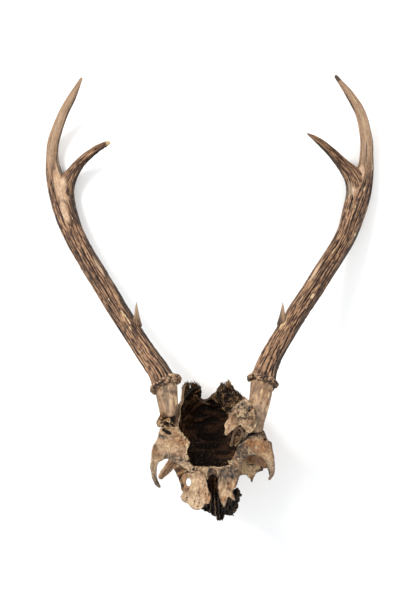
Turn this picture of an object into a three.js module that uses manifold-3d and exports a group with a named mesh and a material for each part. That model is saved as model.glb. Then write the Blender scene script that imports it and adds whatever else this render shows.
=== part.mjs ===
// A weathered deer skull, life size, in millimetres, +Z up.
// The face is broken off in front of the eye sockets and the roof of the braincase is gone, so the
// brain cavity lies open. The skull rests on its two neck knuckles (the occipital condyles) with the
// nose raised, and the antlers lie back and rest on the floor just below their forks.
// Left and right are as seen from above, with the nose towards the viewer.
import * as THREE from 'three';
import { mergeVertices } from 'three/addons/utils/BufferGeometryUtils.js';
import Module from 'manifold-3d';

const wasm = await Module();
wasm.setup();

// ---- Driving dimensions ------------------------------------------------------------------------

const GAP = 0.3; // between pieces that meet
const FLOOR = 0; // height of the surface that the skull lies on
const FAR = 600; // larger than the whole object, for half spaces

// The skull's own frame: x to the side, y towards the back of the head, z up from the neck knuckles.
const NOSE_RAISE = THREE.MathUtils.degToRad(33);
const SKULL_PLACE = new THREE.Vector3(3.3, -108.5, 0);
const SKULL_POSE = new THREE.Matrix4().makeRotationX(-NOSE_RAISE).setPosition(SKULL_PLACE);

const BRAINCASE_CENTRE = [0, -46, 41];
const BRAINCASE_HALF = [36, 50, 37];
const BRAINCASE_WALL = 5.5;
const BRAINCASE_BOXINESS = 2.6;
const OCCIPUT_LENGTH = 12; // back part of the braincase that carries the neck knuckles
const RIM_HEIGHT = 46; // the roof is broken away above this height inside the opening

const FRONTAL_THICKNESS = 8;
const ORBIT_EDGE_THICKNESS = 5;
const NOSE_PLATE_THICKNESS = 2.8;
const FLAP_THICKNESS = 3.4;
const BURR_HALF_LENGTH = 4.6;

// Heights of the forehead above the floor, along a line from the pedicles to the broken nose.
const FOREHEAD_HEIGHT = 117; // at FOREHEAD_MIDDLE
const FOREHEAD_MIDDLE = -151;
const FOREHEAD_SLOPE = 0.238;
const FOREHEAD_ARCH = 0.00419;
const FOREHEAD_FLAT_HALF = 20; // flat to this far from the midline
const FOREHEAD_DROP = 16; // how far the edge of the eye socket lies lower
const FOREHEAD_DROP_WIDTH = 32;

// Stations of the antlers: x, y, z and radius. The two sides of a real pair differ a little.
const LEFT = {
  side: -1,
  burr: { centre: [-39.4, -79.4, 91], axis: [-0.43, 0.85, -0.31], radius: 14.4 },
  pedicle: [
    [-34.5, -112, 96, 8.4],
    [-36.4, -103, 97.5, 8.4],
    [-37.6, -93, 95.5, 9.8],
    [-39, -79, 91, 10.8],
  ],
  beam: [
    [-39, -79, 91, 10.6],
    [-46, -65.5, 85.5, 9.8],
    [-59.8, -46.7, 74.5, 9.4],
    [-81.1, -14.4, 55.5, 9.4],
    [-101.6, 18.3, 38, 9.5],
    [-121.5, 51.5, 22, 9.6],
    [-131.8, 76.6, 12.8, 9.7],
    [-138.4, 97.9, 9.2, 9.6],
    [-143.3, 114.5, 8, 7.4],
    [-144.6, 130.2, 9, 6],
    [-142.2, 145.6, 13, 5.3],
    [-133.8, 166.9, 24, 4.4],
    [-125, 181.6, 35, 3.4],
    [-115.8, 198.4, 47, 1.2],
  ],
  tine: [
    [-134.5, 92, 9.6, 8.6],
    [-128.6, 108, 12.8, 6.6],
    [-118.6, 122.2, 18.6, 4.8],
    [-104.8, 133.2, 28, 3.7],
    [-95.9, 138, 34, 2.7],
    [-90.4, 139.8, 38, 1.5],
  ],
  spur: [
    [-75, -33, 60, 5.2],
    [-69.4, -24.5, 65, 4.7],
    [-66.2, -14.5, 69.5, 2.7],
    [-65.2, -6.4, 72.6, 0.9],
  ],
  crotch: [-134.2, 107.3],
  forkSplit: [0.3, 0.95],
};

const RIGHT = {
  side: 1,
  burr: { centre: [47.6, -76.2, 91], axis: [0.27, 0.915, -0.31], radius: 14.4 },
  pedicle: [
    [40.5, -119, 101, 7.2],
    [42, -107, 101, 8.3],
    [45, -92.6, 96.5, 9.8],
    [47.5, -76.2, 91, 11],
  ],
  beam: [
    [47.5, -76.2, 91, 10.8],
    [52, -62.6, 85, 10],
    [60.3, -46.7, 76, 9.6],
    [80.4, -14.4, 56, 9.5],
    [102.4, 18.3, 38, 9.6],
    [123.6, 51.5, 22, 9.6],
    [133.4, 76.6, 12.8, 9.6],
    [140.2, 97.9, 9.2, 9.6],
    [144.4, 114.5, 8.2, 7.8],
    [145.4, 130.2, 9, 6.5],
    [144.9, 145.6, 12.5, 5.5],
    [139.2, 167, 22, 4.7],
    [128.8, 183.4, 33, 3.6],
    [114, 201.4, 47, 1.3],
  ],
  tine: [
    [136, 95, 9.8, 8.8],
    [131.2, 112.5, 13, 8],
    [122.8, 122.6, 18, 5.6],
    [111.6, 133.2, 26, 4.2],
    [100.3, 142, 33, 3.2],
    [89.6, 148.2, 38.6, 1.3],
  ],
  spur: [
    [75.5, -33, 60, 5.2],
    [70.4, -24.5, 65, 4.7],
    [67.2, -14.5, 69.5, 2.7],
    [66, -6.4, 72.4, 0.9],
  ],
  crotch: [135.6, 120.4],
  forkSplit: [-0.33, 0.95],
};

// ---- Materials ---------------------------------------------------------------------------------

const boneMaterial = () => new THREE.MeshStandardMaterial({ color: 0xc4a484, roughness: 0.62, metalness: 0 });
const stainedMaterial = () => new THREE.MeshStandardMaterial({ color: 0x8a6a4c, roughness: 0.7, metalness: 0 });
const antlerMaterial = () => new THREE.MeshStandardMaterial({ color: 0x7a5f49, roughness: 0.6, metalness: 0 });
const tineMaterial = () => new THREE.MeshStandardMaterial({ color: 0xa3856a, roughness: 0.5, metalness: 0 });
const driedMaterial = () => new THREE.MeshStandardMaterial({ color: 0x1d1511, roughness: 0.8, metalness: 0 });

// ---- Solids and cuts ---------------------------------------------------------------------------

// A closed geometry as a solid that can be joined and cut.
function solidOf(geometry) {
  const plain = geometry.clone();
  plain.deleteAttribute('normal');
  plain.deleteAttribute('uv');
  const welded = mergeVertices(plain, 1e-4);
  return new wasm.Manifold(new wasm.Mesh({
    numProp: 3,
    vertProperties: new Float32Array(welded.attributes.position.array),
    triVerts: new Uint32Array(welded.index.array),
  }));
}

// Of a solid that cuts have left in several bodies, the largest one: crumbs are dropped.
function mainBody(solid) {
  const bodies = solid.decompose();
  return bodies.reduce((best, body) => (body.volume() > best.volume() ? body : best));
}

// Moves every corner of a geometry to place(corner).
function reshape(geometry, place) {
  const position = geometry.attributes.position;
  const corner = new THREE.Vector3();
  for (let i = 0; i < position.count; i += 1) {
    corner.fromBufferAttribute(position, i);
    const moved = place(corner);
    position.setXYZ(i, moved.x, moved.y, moved.z);
  }
  return geometry;
}

// The half space on the far side of a plane, as a large block whose face is that plane.
function beyond(point, direction, offset = 0) {
  const along = new THREE.Vector3(...direction).normalize();
  const turn = new THREE.Quaternion().setFromUnitVectors(new THREE.Vector3(0, 0, 1), along);
  const block = new THREE.BoxGeometry(FAR, FAR, FAR);
  block.translate(0, 0, FAR / 2 + offset);
  block.applyQuaternion(turn);
  block.translate(...point);
  return solidOf(block);
}

const opposite = (direction) => direction.map((value) => -value);

// Cuts off what would lie below the floor, which leaves a small flat to rest on.
const onFloor = (solid) => solid.intersect(beyond([0, 0, FLOOR], [0, 0, 1]));

// A limb of round section through stations [x, y, z, radius]: a cylinder laid along a curve. flatten
// squeezes the section at right angles to the curve, and ridges flutes it.
function limb(stations, { around = 12, steps = 12, grow = 0, flatten = 1, ridges = 0, ridgeDepth = 0 } = {}) {
  const path = new THREE.CatmullRomCurve3(
    stations.map(([x, y, z]) => new THREE.Vector3(x, y, z)), false, 'centripetal');
  const radii = new THREE.CatmullRomCurve3(
    stations.map((station) => new THREE.Vector3(station[3], 0, 0)), false, 'catmullrom', 0.3);
  const up = new THREE.Vector3(0, 0, 1);
  return reshape(new THREE.CylinderGeometry(1, 1, 1, around, steps), (corner) => {
    const along = corner.y + 0.5;
    const middle = path.getPoint(along);
    const forward = path.getTangent(along);
    const across = new THREE.Vector3().crossVectors(forward, up).normalize();
    const over = new THREE.Vector3().crossVectors(across, forward);
    const angle = Math.atan2(corner.x, corner.z);
    const flute = 1 + ridgeDepth * Math.cos(ridges * angle);
    const reach = Math.hypot(corner.x, corner.z) * (radii.getPoint(along).x * flute + grow);
    return middle
      .addScaledVector(across, reach * Math.sin(angle))
      .addScaledVector(over, reach * Math.cos(angle) * flatten);
  });
}

// An egg-like solid. boxiness 2 is a plain ellipsoid, and more fills out its corners.
function ovoid(centre, half, { boxiness = 2, grow = 0, around = 16, rings = 10 } = {}) {
  return reshape(new THREE.SphereGeometry(1, around, rings), (corner) => {
    const sum = corner.toArray().reduce((total, value) => total + Math.abs(value) ** boxiness, 0);
    const fill = 1 / sum ** (1 / boxiness);
    return new THREE.Vector3(
      centre[0] + corner.x * fill * (half[0] + grow),
      centre[1] + corner.y * fill * (half[1] + grow),
      centre[2] + corner.z * fill * (half[2] + grow));
  });
}

// An upright prism over an outline.
function prism(outline, bottom, top) {
  const shape = new THREE.Shape(outline.map(([x, y]) => new THREE.Vector2(x, y)));
  const geometry = new THREE.ExtrudeGeometry(shape, { depth: top - bottom, bevelEnabled: false });
  geometry.translate(0, 0, bottom);
  return geometry;
}

// A curved plate: a sheet that follows top(x, y) and is thick(x, y) deep, trimmed to an outline.
function plate(outline, top, thick, cell) {
  const box = new THREE.Box2().setFromPoints(outline.map(([x, y]) => new THREE.Vector2(x, y)));
  const size = box.getSize(new THREE.Vector2());
  const middle = box.getCenter(new THREE.Vector2());
  const sheet = reshape(
    new THREE.BoxGeometry(size.x + 2, size.y + 2, 1, Math.ceil(size.x / cell), Math.ceil(size.y / cell), 1),
    (corner) => {
      const x = middle.x + corner.x;
      const y = middle.y + corner.y;
      const height = top(x, y) - (corner.z > 0 ? 0 : thick(x, y));
      return new THREE.Vector3(x, y, height);
    });
  return solidOf(sheet).intersect(solidOf(prism(outline, -FAR, FAR)));
}

// ---- Braincase ---------------------------------------------------------------------------------

// The braincase narrows towards the nose, and its back is lower and narrower too.
function taper(geometry) {
  return reshape(geometry, (corner) => {
    const forward = THREE.MathUtils.smoothstep(-corner.y, 55, 100);
    const backward = 1 - THREE.MathUtils.smoothstep(-corner.y, -4, 34);
    const width = 1 - 0.26 * forward - 0.15 * backward;
    const drop = 6 * backward * THREE.MathUtils.smoothstep(corner.z, 30, 75);
    return new THREE.Vector3(corner.x * width, corner.y, corner.z - drop);
  });
}

const posed = (geometry) => solidOf(geometry.applyMatrix4(SKULL_POSE));

function braincaseOutside(grow = 0) {
  const shape = { boxiness: BRAINCASE_BOXINESS, grow, around: 24, rings: 14 };
  return posed(taper(ovoid(BRAINCASE_CENTRE, BRAINCASE_HALF, shape)));
}

function braincaseInside() {
  const half = BRAINCASE_HALF.map((value) => value - BRAINCASE_WALL);
  return posed(taper(ovoid(BRAINCASE_CENTRE, half, { boxiness: 2.4, around: 20, rings: 12 })));
}

// The broken roof, seen along the skull's own upright: a ragged hole between the pedicles.
function roofHole() {
  const outline = [
    [-22, -9], [-26, -14], [-26.5, -22], [-29.5, -34], [-30.5, -48], [-29, -60], [-26, -72], [-23, -84],
    [-22, -99], [19, -99], [20, -88], [25, -76], [28, -64], [29.5, -48], [28.5, -34], [27, -22], [22, -12],
    [14, -8.5], [-6, -6.5],
  ];
  return posed(prism(outline, RIM_HEIGHT, 120));
}

// The gap in the back wall, from the crest down to the hole for the spinal cord.
function backNotch() {
  const outline = [
    [-12.5, 90], [-12.8, 56], [-10.6, 47], [-11.4, 33], [-3, 30.5], [3, 33], [4, 45], [8.6, 56], [9, 90],
  ];
  const notch = prism(outline, -20, 20);
  notch.rotateX(Math.PI / 2);
  return posed(notch);
}

// The ridge across the back of the head that the neck muscles held.
function napeCrest() {
  const stations = [
    [-28.5, -18, 43, 3.4], [-26, -10.5, 53, 3.8], [-18, -7.5, 58, 4], [0, -7, 60, 4],
    [17, -8.5, 57.5, 4], [26.5, -14, 52, 3.8], [30, -21, 43, 3.4],
  ];
  return posed(limb(stations, { around: 8, steps: 11 }));
}

// One neck knuckle and the spur of bone beside it.
function neckKnuckle(side) {
  const knuckle = posed(ovoid([side * 14.5, 0.5, 11.5], [8.5, 9.5, 11.5], { around: 12, rings: 8 }));
  const spur = posed(limb([
    [side * 25, -12, 24, 5], [side * 26.5, -8, 10, 4], [side * 25.5, -7, 1, 2.4],
  ], { around: 8, steps: 4, flatten: 0.6 }));
  return knuckle.add(spur);
}

// A blind pit where the spinal cord left the skull; dried tissue closes its inner end.
const cordPit = () => posed(ovoid([0, 5, 17], [9, 8, 9.5], { around: 12, rings: 6 }));

// Broken root of the cheek arch, which stays on the right side of the head.
const cheekRoot = () => posed(limb([
  [28, -56, 33, 6], [36, -60, 33, 5], [41, -64, 33.5, 3],
], { around: 8, steps: 4 }));

function wholeBraincase() {
  const shell = braincaseOutside().add(napeCrest()).add(cheekRoot()).add(neckKnuckle(-1)).add(neckKnuckle(1));
  return onFloor(shell.subtract(braincaseInside()).subtract(roofHole()).subtract(backNotch()).subtract(cordPit()));
}

// The plane between the occiput and the rest of the braincase, given in the skull's own frame.
function occiputPlane(offset) {
  const block = new THREE.BoxGeometry(FAR, FAR, FAR);
  block.translate(0, FAR / 2 - OCCIPUT_LENGTH + offset, 0);
  return posed(block);
}

const occiput = () => mainBody(wholeBraincase().intersect(occiputPlane(GAP / 2)));
const braincase = () => mainBody(wholeBraincase().subtract(occiputPlane(-GAP / 2)));

// ---- Underside ---------------------------------------------------------------------------------

// The bone bar under the braincase, with the two thin wings behind the palate.
function skullBase(grow = 0) {
  const bar = posed(limb([
    [0, -30, 2, 7], [0, -56, 4, 6.5], [0, -80, 10, 6], [0, -98, 17, 5],
  ], { around: 8, steps: 6, grow }));
  const wing = (side) => posed(limb([
    [side * 4, -58, 3, 3], [side * 9, -74, 2, 3.6], [side * 10.5, -92, 9, 2.4],
  ], { around: 8, steps: 5, grow, flatten: 2 }));
  return mainBody(bar.add(wing(-1)).add(wing(1)).subtract(braincaseOutside(GAP)));
}

// The egg-shaped capsule of the inner ear.
const earBulla = (side) => mainBody(
  posed(ovoid([side * 20, -31, 5], [7.5, 11, 9], { around: 10, rings: 6 })).subtract(braincaseOutside(GAP)));

// ---- Forehead and eye sockets ------------------------------------------------------------------

// Height of the forehead above the floor.
function forehead(x, y) {
  const forward = FOREHEAD_MIDDLE - y;
  const aside = Math.max(0, Math.abs(x - SKULL_PLACE.x) - FOREHEAD_FLAT_HALF) / FOREHEAD_DROP_WIDTH;
  return FOREHEAD_HEIGHT + FOREHEAD_SLOPE * forward - FOREHEAD_ARCH * forward ** 2 - FOREHEAD_DROP * aside ** 2;
}

// The frontal bone is thick beside the opening and thins towards the edge of the eye socket.
function frontalThickness(x) {
  const aside = THREE.MathUtils.smoothstep(Math.abs(x - SKULL_PLACE.x), 28, 52);
  return THREE.MathUtils.lerp(FRONTAL_THICKNESS, ORBIT_EDGE_THICKNESS, aside);
}

// The curved bar at the back of the eye socket: it bends down towards the cheek and is broken off.
const ORBIT_RIM = {
  left: [
    [-43.5, -124.5, 93.5, 3.4], [-48, -137, 92.5, 4], [-49.8, -151, 88.5, 3.2], [-49, -162, 80, 2.7],
    [-45.8, -171.2, 70, 1.3],
  ],
  right: [
    [50.5, -127.5, 93.5, 3.4], [55, -139.5, 92.5, 4], [57.2, -151, 88, 3.2], [56.2, -159, 81.5, 2.7],
    [53.2, -164.6, 75, 1.3],
  ],
};

const orbitRim = (stations, grow = 0) => solidOf(limb(stations, { around: 8, steps: 9, grow, flatten: 1.2 }));

const FRONTAL_LEFT = [
  [-46.6, -116.9], [-46.8, -110], [-45, -104.4], [-40.5, -102.3], [-34.5, -103], [-31.5, -105], [-33.3, -109],
  [-33.1, -113], [-26.8, -119], [-19.7, -126.7], [-17.1, -131], [-19.2, -138.8], [-17.9, -144.9], [-16.6, -149.8],
  [-23.2, -153.2], [-32.9, -153.4], [-33, -143.4], [-41, -144.5], [-46, -148.5], [-52, -147], [-52, -142.5],
  [-51, -135.4], [-46.5, -127], [-44.3, -120.3],
];

const FRONTAL_RIGHT = [
  [20, -151], [19.1, -146.6], [24.2, -139.7], [27.1, -133.6], [29.8, -128.4], [33.1, -125], [43.7, -120],
  [47.8, -121.9], [52.3, -128.2], [55, -128.3], [56.6, -134.4], [58.6, -141.6], [60, -147.8], [54.8, -150.1],
  [48.5, -145.4], [42.2, -141.7], [36, -142.4], [31.5, -146.7], [27.9, -153.6], [26.2, -158.4], [20.2, -151.2],
];

// The vessel hole above the left eye is a blind pit in this thick bone.
const browPit = () => solidOf(ovoid([-38.2, -119.2, 97], [3.6, 2.8, 5], { around: 10, rings: 8 }));

function frontalLeft() {
  const bone = plate(FRONTAL_LEFT, forehead, frontalThickness, 8)
    .subtract(orbitRim(ORBIT_RIM.left, GAP))
    .subtract(pedicleLimb(LEFT, GAP))
    .subtract(braincaseOutside(GAP))
    .subtract(browPit());
  return mainBody(bone);
}

function frontalRight() {
  const bone = plate(FRONTAL_RIGHT, forehead, frontalThickness, 8)
    .subtract(orbitRim(ORBIT_RIM.right, GAP))
    .subtract(pedicleLimb(RIGHT, GAP))
    .subtract(braincaseOutside(GAP));
  return mainBody(bone);
}

// What is left of the cheek arch on the left: a bar that runs forward from the side of the head.
function cheekBar() {
  const bar = solidOf(limb([
    [-27, -132, 57, 5.2], [-33, -143.4, 61, 4.4], [-37, -150.6, 64.5, 3.4], [-41, -158.6, 69, 3.2],
    [-43.6, -165.4, 72.5, 2],
  ], { around: 8, steps: 9, flatten: 0.7 }));
  return mainBody(bar.subtract(braincaseOutside(GAP)).subtract(orbitRim(ORBIT_RIM.left, GAP)));
}

// The thin inner wall of the right eye socket, under the edge of the frontal bone.
function orbitWallRight() {
  const outline = [
    [29, -139], [38, -136], [47, -138], [53, -144], [54, -150], [49, -156.4], [42, -155.5], [39.4, -161],
    [37.6, -165.6], [34, -159.8], [28, -161.6], [26.5, -154],
  ];
  const depth = (x, y) => forehead(x, y) - frontalThickness(x) - 1 - 0.16 * (x - 28);
  const wall = plate(outline, depth, () => 2.4, 7);
  return mainBody(wall.subtract(orbitRim(ORBIT_RIM.right, GAP)).subtract(braincaseOutside(GAP)));
}

// ---- Broken roof, right side -------------------------------------------------------------------

// A flap of the roof that still hangs over the opening beside the right pedicle.
function roofFlap() {
  const outline = [
    [19.5, -101], [27.5, -95.7], [32.9, -92.2], [37, -95], [39, -104.5], [40.7, -114.9], [35.3, -121],
    [30, -114.9], [27.9, -112.8], [20.2, -118.4], [14.9, -124.4], [13.1, -117.5], [15.8, -109.3],
  ];
  const height = (x, y) => 97 - 0.42 * (y + 110) - 0.012 * (x - 24) ** 2 - 0.022 * Math.max(0, y + 110) ** 2;
  const flap = plate(outline, height, () => FLAP_THICKNESS, 6);
  return mainBody(flap.subtract(pedicleLimb(RIGHT, GAP)).subtract(braincaseOutside(GAP)));
}

// A knob of spongy bone between the flap and the eye socket.
function spongyKnob() {
  const knob = solidOf(ovoid([25.4, -124.8, 93], [4.6, 6.4, 8], { around: 12, rings: 8 }));
  return mainBody(knob.subtract(braincaseOutside(GAP)));
}

// ---- Nose --------------------------------------------------------------------------------------

const NOSE_PLATE_LEFT = [
  [-32.5, -153.8], [-23.2, -153.6], [-16.6, -150.2], [-11.7, -150.1], [-2.9, -151.4], [-2.9, -157.9], [-1.4, -162.3],
  [0.2, -168.4], [1.1, -178], [-0.3, -184.2], [-5.9, -185.1], [-10.8, -188.6], [-14.4, -187.8], [-17.9, -184.2],
  [-23.6, -181.6], [-25.8, -177.3], [-23.2, -172.8], [-22.6, -167.6], [-25.8, -162.4], [-29.7, -157.2],
];

const NOSE_PLATE_RIGHT = [
  [8.5, -151.4], [19.8, -151.4], [25.8, -158.8], [24.4, -164], [22.6, -170.1], [21.7, -175.4], [22.6, -180.7],
  [19.6, -180.7], [17.3, -178], [15.6, -178.9], [13.8, -186.4], [10.3, -180.7], [8.5, -175.4], [7.7, -164],
];

// A hole right through the left plate.
const noseHole = () => solidOf(limb([[-18.1, -164, 100, 2.8], [-18.1, -163.9, 140, 2.8]], { around: 12, steps: 1 }));

const nosePlateThickness = () => NOSE_PLATE_THICKNESS;
const nosePlateLeft = () => mainBody(plate(NOSE_PLATE_LEFT, forehead, nosePlateThickness, 7).subtract(noseHole()));
const nosePlateRight = () => mainBody(
  plate(NOSE_PLATE_RIGHT, forehead, nosePlateThickness, 7).subtract(orbitRim(ORBIT_RIM.right, GAP)));

// Under the nose plates lie the dried scrolls of the nose and the thin wall between its two sides.
// Their top follows the plates, and their broken front slopes down.
const NOSE_FRONT = -176;
const NOSE_FRONT_SLOPE = 1.15;
const NOSE_FLOOR_SLOPE = 0.3;

function scrollTop(x, y) {
  const front = Math.max(0, NOSE_FRONT - y);
  return forehead(x, y) - NOSE_PLATE_THICKNESS - GAP - NOSE_FRONT_SLOPE * front;
}

// The scrolls are deepest at the back, where they meet the bone bar of the skull base.
const scrollDepth = (x, y) => Math.max(4, scrollTop(x, y) - 68 + NOSE_FLOOR_SLOPE * (y + 150));

// The middle wall stands on the bone bar.
const wallDepth = (x, y) => Math.max(4, scrollTop(x, y) - 66);

function nosePart(outline, depth, cell) {
  const part = plate(outline, scrollTop, depth, cell);
  return mainBody(part.subtract(braincaseOutside(GAP)).subtract(orbitWallRight()).subtract(skullBase(GAP)));
}

const noseScrollLeft = () => nosePart([
  [-10.5, -152], [1.6, -152], [1.6, -199.5], [-2.5, -196.5], [-7, -190.5], [-11.5, -185], [-11.5, -166],
], scrollDepth, 7);

const noseScrollRight = () => nosePart([
  [5.4, -152], [17, -152], [23.5, -161], [26.5, -165.5], [29.2, -174], [27, -181], [23.6, -188.5], [20.5, -196.5],
  [16, -200.5], [12, -198.5], [9, -202.5], [5.4, -202],
], scrollDepth, 7);

const noseWall = () => nosePart([[2, -154], [5, -154], [5, -203], [2, -202]], wallDepth, 8);

// ---- Antlers -----------------------------------------------------------------------------------

const pedicleLimb = (antler, grow = 0) => solidOf(limb(antler.pedicle, { around: 12, steps: 6, grow }));

// The knobbly ring where the antler was shed and grew again.
function burrRing({ burr }) {
  const axis = new THREE.Vector3(...burr.axis).normalize();
  const centre = new THREE.Vector3(...burr.centre);
  const at = (along, radius) => [...centre.clone().addScaledVector(axis, along).toArray(), radius];
  const half = BURR_HALF_LENGTH;
  const ring = limb([
    at(-half, burr.radius - 2), at(-half * 0.3, burr.radius), at(half * 0.4, burr.radius - 0.2),
    at(half, burr.radius - 2.4),
  ], { around: 21, steps: 3, ridges: 7, ridgeDepth: 0.06 });
  return solidOf(ring);
}

// Beam, burr and pedicle are one growth, parted by thin cuts square to the burr.
const aboveBurr = ({ burr }, offset) => beyond(burr.centre, burr.axis, offset);
const belowBurr = ({ burr }, offset) => beyond(burr.centre, opposite(burr.axis), offset);

const beamLimb = (antler, grow = 0) => solidOf(
  limb(antler.beam, { around: 12, steps: 28, grow, ridges: 6, ridgeDepth: 0.03 }));
const tineLimb = (antler) => solidOf(limb(antler.tine, { around: 10, steps: 10 }));

// The plane across the beam just below its fork, and the upright plane between the two branches.
const FORK_BELOW_CROTCH = 13;

function forkPlane(antler, offset) {
  const point = [antler.crotch[0], antler.crotch[1] - FORK_BELOW_CROTCH, 0];
  return beyond(point, [antler.side * 0.25, 1, 0], offset);
}

function branchPlane(antler, offset) {
  const [sideways, forwards] = antler.forkSplit;
  return beyond([...antler.crotch, 0], [antler.side * forwards, -antler.side * sideways, 0], offset);
}

function wholeAntler(antler) {
  return onFloor(beamLimb(antler).add(tineLimb(antler)));
}

const beam = (antler) => mainBody(
  wholeAntler(antler).intersect(aboveBurr(antler, BURR_HALF_LENGTH)).subtract(forkPlane(antler, -GAP / 2)));

const mainTine = (antler) => mainBody(
  wholeAntler(antler).intersect(forkPlane(antler, GAP / 2)).intersect(branchPlane(antler, GAP / 2)));

const forkTine = (antler) => mainBody(
  wholeAntler(antler).intersect(forkPlane(antler, GAP / 2)).subtract(branchPlane(antler, -GAP / 2)));

const browTine = (antler) => mainBody(
  solidOf(limb(antler.spur, { around: 8, steps: 5 })).subtract(beamLimb(antler, GAP)));

function burr(antler) {
  const ring = burrRing(antler);
  return mainBody(ring
    .subtract(aboveBurr(antler, BURR_HALF_LENGTH - GAP))
    .subtract(belowBurr(antler, BURR_HALF_LENGTH - GAP)));
}

const pedicle = (antler) => mainBody(pedicleLimb(antler).intersect(belowBurr(antler, BURR_HALF_LENGTH)));

// ---- Assembly ----------------------------------------------------------------------------------

const skull = new THREE.Group();

function place(name, solid, material) {
  const { vertProperties, triVerts } = solid.getMesh();
  const geometry = new THREE.BufferGeometry();
  geometry.setAttribute('position', new THREE.BufferAttribute(vertProperties, 3));
  geometry.setIndex(new THREE.BufferAttribute(triVerts, 1));
  geometry.computeVertexNormals();
  const mesh = new THREE.Mesh(geometry, material);
  mesh.name = name;
  skull.add(mesh);
}

place('braincase', braincase(), boneMaterial());
place('occiput', occiput(), boneMaterial());
place('skull_base', skullBase(), boneMaterial());
place('ear_bulla_left', earBulla(-1), boneMaterial());
place('ear_bulla_right', earBulla(1), boneMaterial());
place('frontal_left', frontalLeft(), boneMaterial());
place('frontal_right', frontalRight(), boneMaterial());
place('orbit_rim_left', orbitRim(ORBIT_RIM.left), boneMaterial());
place('orbit_rim_right', orbitRim(ORBIT_RIM.right), boneMaterial());
place('cheek_bar_left', cheekBar(), boneMaterial());
place('orbit_wall_right', orbitWallRight(), stainedMaterial());
place('roof_flap_right', roofFlap(), boneMaterial());
place('spongy_knob_right', spongyKnob(), stainedMaterial());
place('nose_plate_left', nosePlateLeft(), boneMaterial());
place('nose_plate_right', nosePlateRight(), boneMaterial());
place('nose_scroll_left', noseScrollLeft(), driedMaterial());
place('nose_scroll_right', noseScrollRight(), driedMaterial());
place('nose_wall', noseWall(), driedMaterial());

for (const [side, antler] of [['left', LEFT], ['right', RIGHT]]) {
  place(`pedicle_${side}`, pedicle(antler), boneMaterial());
  place(`burr_${side}`, burr(antler), antlerMaterial());
  place(`beam_${side}`, beam(antler), antlerMaterial());
  place(`brow_tine_${side}`, browTine(antler), antlerMaterial());
  place(`main_tine_${side}`, mainTine(antler), tineMaterial());
  place(`fork_tine_${side}`, forkTine(antler), tineMaterial());
}

// The origin is the middle of the footprint, on the floor.
const box = new THREE.Box3().setFromObject(skull);
const middle = box.getCenter(new THREE.Vector3());
skull.position.set(-middle.x, -middle.y, -box.min.z);

export default skull;
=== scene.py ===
import bpy
import numpy as np
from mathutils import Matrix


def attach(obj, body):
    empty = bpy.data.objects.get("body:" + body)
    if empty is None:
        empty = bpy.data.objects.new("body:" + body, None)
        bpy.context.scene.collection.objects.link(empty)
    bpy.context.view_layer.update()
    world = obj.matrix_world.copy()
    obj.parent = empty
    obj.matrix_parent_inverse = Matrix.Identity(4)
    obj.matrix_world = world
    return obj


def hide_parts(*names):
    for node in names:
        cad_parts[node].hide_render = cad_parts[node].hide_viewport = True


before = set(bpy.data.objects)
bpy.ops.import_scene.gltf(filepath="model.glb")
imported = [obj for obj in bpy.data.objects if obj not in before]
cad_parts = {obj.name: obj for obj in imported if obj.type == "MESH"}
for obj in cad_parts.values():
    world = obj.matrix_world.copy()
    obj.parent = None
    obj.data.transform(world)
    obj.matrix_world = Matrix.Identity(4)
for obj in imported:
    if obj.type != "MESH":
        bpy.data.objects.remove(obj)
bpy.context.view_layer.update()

# A weathered deer skull that lies on a pale floor, seen from straight above. Lengths are in millimetres in
# the skull's own drawing, and become metres in the frame when a piece is made.
MM = 0.001
DRAWING_TO_FRAME = np.array([-0.673, 0.299, 0.0])
FLOOR_CLEARANCE = 0.05

# ---- Camera ------------------------------------------------------------------------------------

CAMERA_HEIGHT = 2.5
CAMERA_PLACE = (-0.00663, -0.0087, CAMERA_HEIGHT)
FIELD_LENGTH = 0.5661  # what the long side of the view takes in, on the floor
SENSOR = 36.0

camera_lens = bpy.data.cameras.new("camera")
camera_lens.sensor_width = SENSOR
camera_lens.lens = SENSOR * CAMERA_HEIGHT / FIELD_LENGTH
camera = bpy.data.objects.new("camera", camera_lens)
camera.location = CAMERA_PLACE
bpy.context.scene.collection.objects.link(camera)
bpy.context.scene.camera = camera
bpy.context.scene.view_settings.view_transform = "Standard"

# ---- Numbers -----------------------------------------------------------------------------------


def smooth(value, low, high):
    """0 below low, 1 above high, and the S curve 3t2 - 2t3 between."""
    t = np.clip((value - low) / (high - low), 0, 1)
    return t * t * (3 - 2 * t)


GRAIN_TABLE = 32  # cells along each side of the block of random values, which then repeats
CELL_TABLE = 16


def grain(points, size, seed):
    """Random values from -1 to 1 at the corners of cells of the given size, eased between them."""
    place = points / np.asarray(size, float)
    corner = np.floor(place)
    part = place - corner
    part = part * part * (3 - 2 * part)
    corner = corner.astype(int)
    table = np.random.default_rng(seed).uniform(-1, 1, 3 * (GRAIN_TABLE,))
    total = np.zeros(points.shape[:-1])
    for offset in np.ndindex(2, 2, 2):
        at = (corner + offset) % GRAIN_TABLE
        share = np.prod(np.where(offset, part, 1 - part), axis=-1)
        total += share * table[at[..., 0], at[..., 1], at[..., 2]]
    return total


def rough(points, size, seed, layers=4):
    """Grain on grain: each layer is half as large and half as strong as the one before."""
    size = np.asarray(size, float)
    return sum(grain(points, size / 2**k, seed + k) / 2**k for k in range(layers)) / 1.5


def cells(points, size, seed):
    """Distance to the nearest of scattered points, one in each lattice cell, in cell widths."""
    place = points / np.asarray(size, float)
    corner = np.floor(place).astype(int)
    table = np.random.default_rng(seed).uniform(0.1, 0.9, 3 * (CELL_TABLE,) + (3,))
    nearest = np.full(points.shape[:-1], 9.0)
    for offset in np.ndindex(3, 3, 3):
        cell = corner + offset - 1
        at = cell % CELL_TABLE
        seat = cell + table[at[..., 0], at[..., 1], at[..., 2]]
        nearest = np.minimum(nearest, ((place - seat) ** 2).sum(-1))
    return np.sqrt(nearest)


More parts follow.
